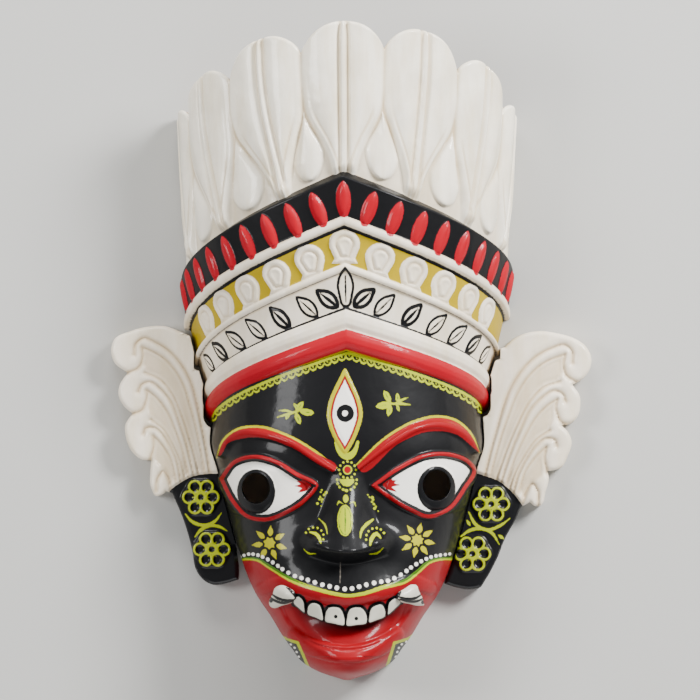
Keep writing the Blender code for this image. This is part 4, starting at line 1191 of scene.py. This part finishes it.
def paint_mouth(canvas):
    """Red mouth and chin below a lime line and white dots, with painted shade darkening the mouth under the
    teeth.
    """
    path = smooth_path(LIP_LINE, 90)
    canvas.area("red", np.vstack((path, np.array(RED_CHIN, dtype=float))), curved=False)
    canvas.stroke("lime", path, (1.0, 1.8, 2.1, 1.9, 1.7, 1.9, 2.1, 1.8, 1.0), straight=True)
    canvas.stroke("green", path - np.array((0, 1.2)), (0.6, 1.0, 1.2, -0.4, -1.4, -0.2, 1.2, 1.0, 0.6),
                  straight=True)
    line = smooth_path(LIP_DOTS, 400)
    for share in np.interp(np.linspace(0, 1, LIP_DOT_COUNT), np.linspace(0, 1, 9), LIP_DOT_SHARES):
        spot = line[int(round(share * 399))]
        canvas.dots("second_white", (spot,), 1.5 + 0.75 * math.sin(math.pi * share) ** 0.7)
    gum_line = np.array(GUM_LINE, dtype=float).T
    where = canvas.near(np.array(MOUTH_EDGE), 2)
    x, y = canvas.x[where], canvas.y[where]
    inside = area_distance(x, y, smooth_path(MOUTH_EDGE, 44, True))
    floor = line_distance(x, y, smooth_path(MOUTH_EDGE[6:] + MOUTH_EDGE[:1], 40))
    # Painted shade: the mouth's red darkens towards the teeth, where shade falls in the recess
    canvas.layers["mouth_shade"] = np.zeros(len(canvas.x))
    below = y - np.interp(x, *gum_line)
    canvas.layers["mouth_shade"][where] = ease((floor - 6) / 20) * ease(below / 3) * ease(-inside / 1.5)
    for tooth in TEETH:
        ring = smooth_path(tooth, 30, True)
        where = canvas.near(ring, FAR)
        x, y = canvas.x[where], canvas.y[where]
        outline = np.abs(area_distance(x, y, ring) - 0.6) - 1.5
        canvas.put("black", where, np.maximum(outline, y - np.interp(x, *gum_line) - 2))
    for corner, dots in zip(CHIN_CORNERS, CHIN_DOTS):
        canvas.area("black", corner, curved=False)
        canvas.ring("lime", corner, 0.0, 1.5, curved=False)
        canvas.dots("second_white", dots, 1.2)


def pillow(outline, place, height, soft, sink):
    """A closed skin over an outline, domed to a height within a soft edge; place turns points into metres."""
    ring = even_path(outline, TOOTH_SPACING, closed=True)
    flat, triangles, corners = filled(ring, TOOTH_SPACING, 0.45 * TOOTH_SPACING)
    inside = np.clip(-area_distance(flat[:, 0], flat[:, 1], ring) / soft, 0, 1)
    top = place(flat[:, 0], flat[:, 1], height * np.sqrt(1 - (1 - inside) ** 2))
    below = place(ring[:, 0], ring[:, 1], np.full(len(ring), -sink))
    return closed_skin(top, below, triangles, corners)


def make_teeth(material):
    """Six teeth under the upper lip, and a fang out of each corner of the mouth."""
    def front(x, y, rise):
        return to_metres(x, y, face_base(x, y) + nose(x, y) + rise)

    for name, outlines, place, dome, dots, radius in (
        ("mask_teeth", TEETH, front, TOOTH_DOME, TOOTH_DOTS, 1.9),
        ("mask_fangs", FANGS, face_point, FANG_DOME, FANG_DOTS, 2.0),
    ):
        obj = join_meshes(name, [pillow(outline, place, *dome) for outline in outlines], [material])
        canvas = canvas_over(obj)
        canvas.dots("black", dots, radius)
        if outlines is TEETH:
            for tooth in TEETH:
                canvas.ring("black", tooth, 0.2, 1.1)
        else:
            for root in FANG_ROOTS:
                canvas.stroke("black", root, 1.4)
            for stripe in STRIPES:
                canvas.stroke("black", stripe, (0.8, 1.5, 1.5, 0.8))
        dress(obj, canvas.layers, "mask_body")


# Ear wings


def to_right_wing(points):
    """Carry drawing points from the left wing over to the right one by its curl eyes."""
    low, high = (complex(-x, y) for x, y in CURL_EYES_LEFT)
    new_low, new_high = (complex(x, y) for x, y in CURL_EYES_RIGHT)
    turn = (new_high - new_low) / (high - low)
    moved = [new_low + turn * (complex(-x, y) - low) for x, y in points]
    return [(p.real, p.imag) for p in moved]


def side_reach(y, side):
    """How far the body reaches sideways at a drawing height, near the back."""
    rows, falls, radii = np.array(BAND_ROWS[1:-1]).T
    lean = LEFT_LEAN if side < 0 else 0.0
    reach = float(smooth(FACE_SIDE, y))
    for angle in np.linspace(80, 90, 6):
        heights = rows + (falls + lean) * angle
        for nudge in (-4.0, 0.0, 4.0):
            if heights[0] <= y + nudge <= heights[-1]:
                radius = np.interp(y + nudge, heights, radii)
                reach = max(reach, float(radius) * math.sin(math.radians(angle)))
    return reach


def board_outline(runs, side):
    """The outline of one board, its inner edge fitted to the body."""
    points = []
    for run in runs:
        points.extend(even_path(run, 1.4, 4)[:-1])
    points.append(runs[-1][-1])
    for y in np.arange(WALL_END_Y, WING_TOP_Y, -1.5):
        points.append((CENTRE_LINE + side * (side_reach(y, side) + WING_GAP), y))
    clear = []
    for x, y in points:
        limit = CENTRE_LINE + side * (side_reach(y, side) + WING_GAP)
        if WING_TOP_Y - 30 < y:
            x = max(x, limit) if side > 0 else min(x, limit)
        if not clear or math.hypot(x - clear[-1][0], y - clear[-1][1]) > 0.5:
            clear.append((x, y))
    return np.array(clear)


def flower_rise(x, y, cx, cy):
    """Height of a flower of six petals, each with a pit."""
    far, a = np.hypot(x - cx, y - cy), np.arctan2(y - cy, x - cx)
    lobe = FLOWER_RADIUS * (0.97 + 0.05 * np.cos(6 * a))
    bed = 3.0 * ease((lobe + 2.2 - far) / 2.4 + 0.5)
    dip = (a / (math.pi / 3) - np.round(a / (math.pi / 3))) * math.pi / 3
    pit = 1 - ((far * np.cos(dip) - 11.4) / 5.0) ** 2 - (far * np.sin(dip) / 4.4) ** 2
    return bed - 2.4 * ease(pit * 2) - 1.5 * ease((3.0 - far) / 1.5)


def make_board(name, node, side, materials):
    """A wing of curls over a black flap with two flowers."""
    left = side < 0
    outline = board_outline(WING_LEFT if left else WING_RIGHT, side)
    flat, triangles, corners = filled(outline, WING_SPACING, 0.6)
    x, y = flat[:, 0], flat[:, 1]
    grooves, hollows = [shapes if left else [to_right_wing(s) for s in shapes]
                        for shapes in (GROOVES, HOLLOWS)]
    line = np.min([line_distance(x, y, even_path(groove, 2, 6)) for groove in grooves], axis=0)
    edge = -area_distance(x, y, outline)
    boundary = smooth_path(FLAP_TOP_LEFT if left else FLAP_TOP_RIGHT, 40)
    boundary = boundary[np.argsort(boundary[:, 0])].T
    wing = ease((np.interp(x, *boundary) - y) / 3.0)
    sunk = signed_motifs(x, y, [smooth_path(h, 50, True) for h in hollows], 6.0)
    curl = 4.6 * (1 - rounding(line / 8.0))
    height = BOARD_THICKNESS / UNIT + wing * (curl - 2.6 * ease(-sunk / 5.0) + 0.1)
    flowers = FLOWERS_LEFT if left else FLOWERS_RIGHT
    rise = np.zeros(len(x))
    for centre in flowers:
        rise = np.maximum(rise, flower_rise(x, y, *centre))
    height = height + rise * (1 - wing)
    levels = np.arange(WING_TOP_Y - 30, WALL_END_Y + 60, 1.5)
    walls = np.array([side_reach(level, side) for level in levels]) + WING_GAP
    inward = side * (x - CENTRE_LINE) - np.interp(y, levels, walls)
    free = np.where(y > WALL_END_Y, 1, ease((inward - edge - 0.2) / 2))
    height = height - free * WING_RIM * rounding(edge / WING_RIM)
    top, back = to_metres(x, y, height + BACK_TRIM), to_metres(outline[:, 0], outline[:, 1], 0.0)
    verts, faces = closed_skin(top, back, triangles, corners)
    slots = [0] * (len(faces) - 1) + [1]
    obj = finish_mesh(name, verts, faces, slots, materials, flat=range(len(triangles), len(faces)))
    canvas = canvas_over(obj)
    paint_flap(canvas, boundary, flowers, FLAP_ARCS_LEFT if left else FLAP_ARCS_RIGHT)
    # Tan along the grooves and in the hollows of the curls: partly stain, partly painted shade
    groove_stain_and_shade = np.zeros(len(verts))
    groove_stain_and_shade[:len(x)] = np.maximum(0.75 * np.clip(1 - line / 3.2, 0, 1), 0.45 * ease(-sunk / 4.0))
    dress(obj, {**canvas.layers, "groove_stain_and_shade": groove_stain_and_shade}, node)


def paint_flap(canvas, boundary, flowers, arcs):
    """Black flap with yellow flowers."""
    canvas.put("black", slice(None), np.clip(np.interp(canvas.x, *boundary) - canvas.y, -FAR, FAR))
    for cx, cy in flowers:
        canvas.ring("yellow", round_dots((cx, cy), 4.4, 0, 330, 12), 0.0, 1.1)
        for i in range(6):
            cos, sin = math.cos(math.pi * i / 3), math.sin(math.pi * i / 3)
            petal = []
            for b in [math.pi * k / 6 for k in range(12)]:
                u, v = PETAL_REACH + 6.3 * math.cos(b), (5.9 + 0.6 * math.cos(b)) * math.sin(b)
                petal.append((cx + u * cos - v * sin, cy + u * sin + v * cos))
            canvas.ring("yellow", petal, 0.0, 1.05)
            spoke = [(cx + reach * cos, cy + reach * sin) for reach in (4.6, 8.8)]
            canvas.stroke("yellow", spoke, (0.9, 0.3), straight=True)
    for arc in arcs:
        canvas.stroke("yellow", arc, (0.6, 1.7, 1.7, 1.5, 0.5))


# Build


def place_object(name, data, place):
    """A new light or camera at a place."""
    obj = bpy.data.objects.new(name, data)
    obj.location = place
    bpy.context.scene.collection.objects.link(obj)
    return obj


def studio():
    """Pale floor, soft light and the camera."""
    bpy.ops.mesh.primitive_plane_add(size=12, location=(0, 0, -0.0004))
    floor = bpy.context.active_object
    floor.name = "floor"
    tree = Tree("pale_floor")
    tree.shader.inputs["Base Color"].default_value = linear(FLOOR)
    tree.shader.inputs["Roughness"].default_value = 0.8
    floor.data.materials.append(tree.material)
    world = bpy.data.worlds.new("soft_world")
    world.use_nodes = True
    sky = world.node_tree.nodes["Background"].inputs
    sky["Color"].default_value, sky["Strength"].default_value = SKY_COLOUR, SKY_STRENGTH
    bpy.context.scene.world = world
    for name, (place, size, power) in LIGHTS.items():
        light = bpy.data.lights.new(name, "AREA")
        light.shape = "RECTANGLE"
        light.size, light.size_y = size
        light.energy = power
        obj = place_object(name, light, place)
        obj.rotation_euler = (Vector(LIGHT_AIM) - Vector(place)).to_track_quat("-Z", "Y").to_euler()
    camera = bpy.data.cameras.new("camera")
    camera.sensor_width = SENSOR_WIDTH
    camera.lens = SENSOR_WIDTH * (CAMERA_HEIGHT - CAMERA_FOCUS) / (PHOTO_SIZE * UNIT)
    camera.clip_end = 40
    middle = PHOTO_SIZE / 2
    place = ((middle - OUTLINE_CENTRE) * UNIT, (MID_LINE - middle) * UNIT, CAMERA_HEIGHT)
    bpy.context.scene.camera = place_object("camera", camera, place)


def build():
    """All the pieces of the mask, then the studio."""
    wood = bare_wood()
    feather = painted("feather_paint", FEATHER, (), groove_stain_and_shade=STAIN_AND_SHADE_TAN, gloss=0.8, stain=STAIN)
    bands = painted("band_paint", CREAM, (
        ("yellow", YELLOW), ("highlight_and_shadow_line", HIGHLIGHT_AND_SHADOW_GREY), ("black", BLACK), ("red", PETAL_RED), ("roll", PETAL_RED),
        ("lower", YELLOW)), groove_stain_and_shade=STAIN_AND_SHADE_TAN, gloss=0.26, stain=STAIN)
    face = painted("face_paint", BLACK, (
        ("yellow", LIME), ("gold", LEMON), ("vein", GREEN), ("highlight_and_shadow_line", HIGHLIGHT_AND_SHADOW_GREY), ("red", RED),
        ("white", WHITE), ("mouth_shade", MOUTH_SHADE_RED), ("black", BLACK), ("lime", LIME), ("green", GREEN),
        ("second_red", RED), ("second_white", WHITE)), gloss=0.26)
    wing = painted("wing_paint", CREAM, (("black", BLACK), ("yellow", LIME)), groove_stain_and_shade=STAIN_AND_SHADE_TAN, gloss=0.6,
                   stain=STAIN)
    tooth = painted("tooth_paint", TOOTH, (("black", BLACK),), wobble=0.4)
    make_feathers([feather, wood])
    make_bands([bands, wood])
    make_face([face, wood])
    make_teeth(tooth)
    make_board("wing_left", "ear_wing_left", -1, [wing, wood])
    make_board("wing_right", "ear_wing_right", 1, [wing, wood])
    studio()


build()
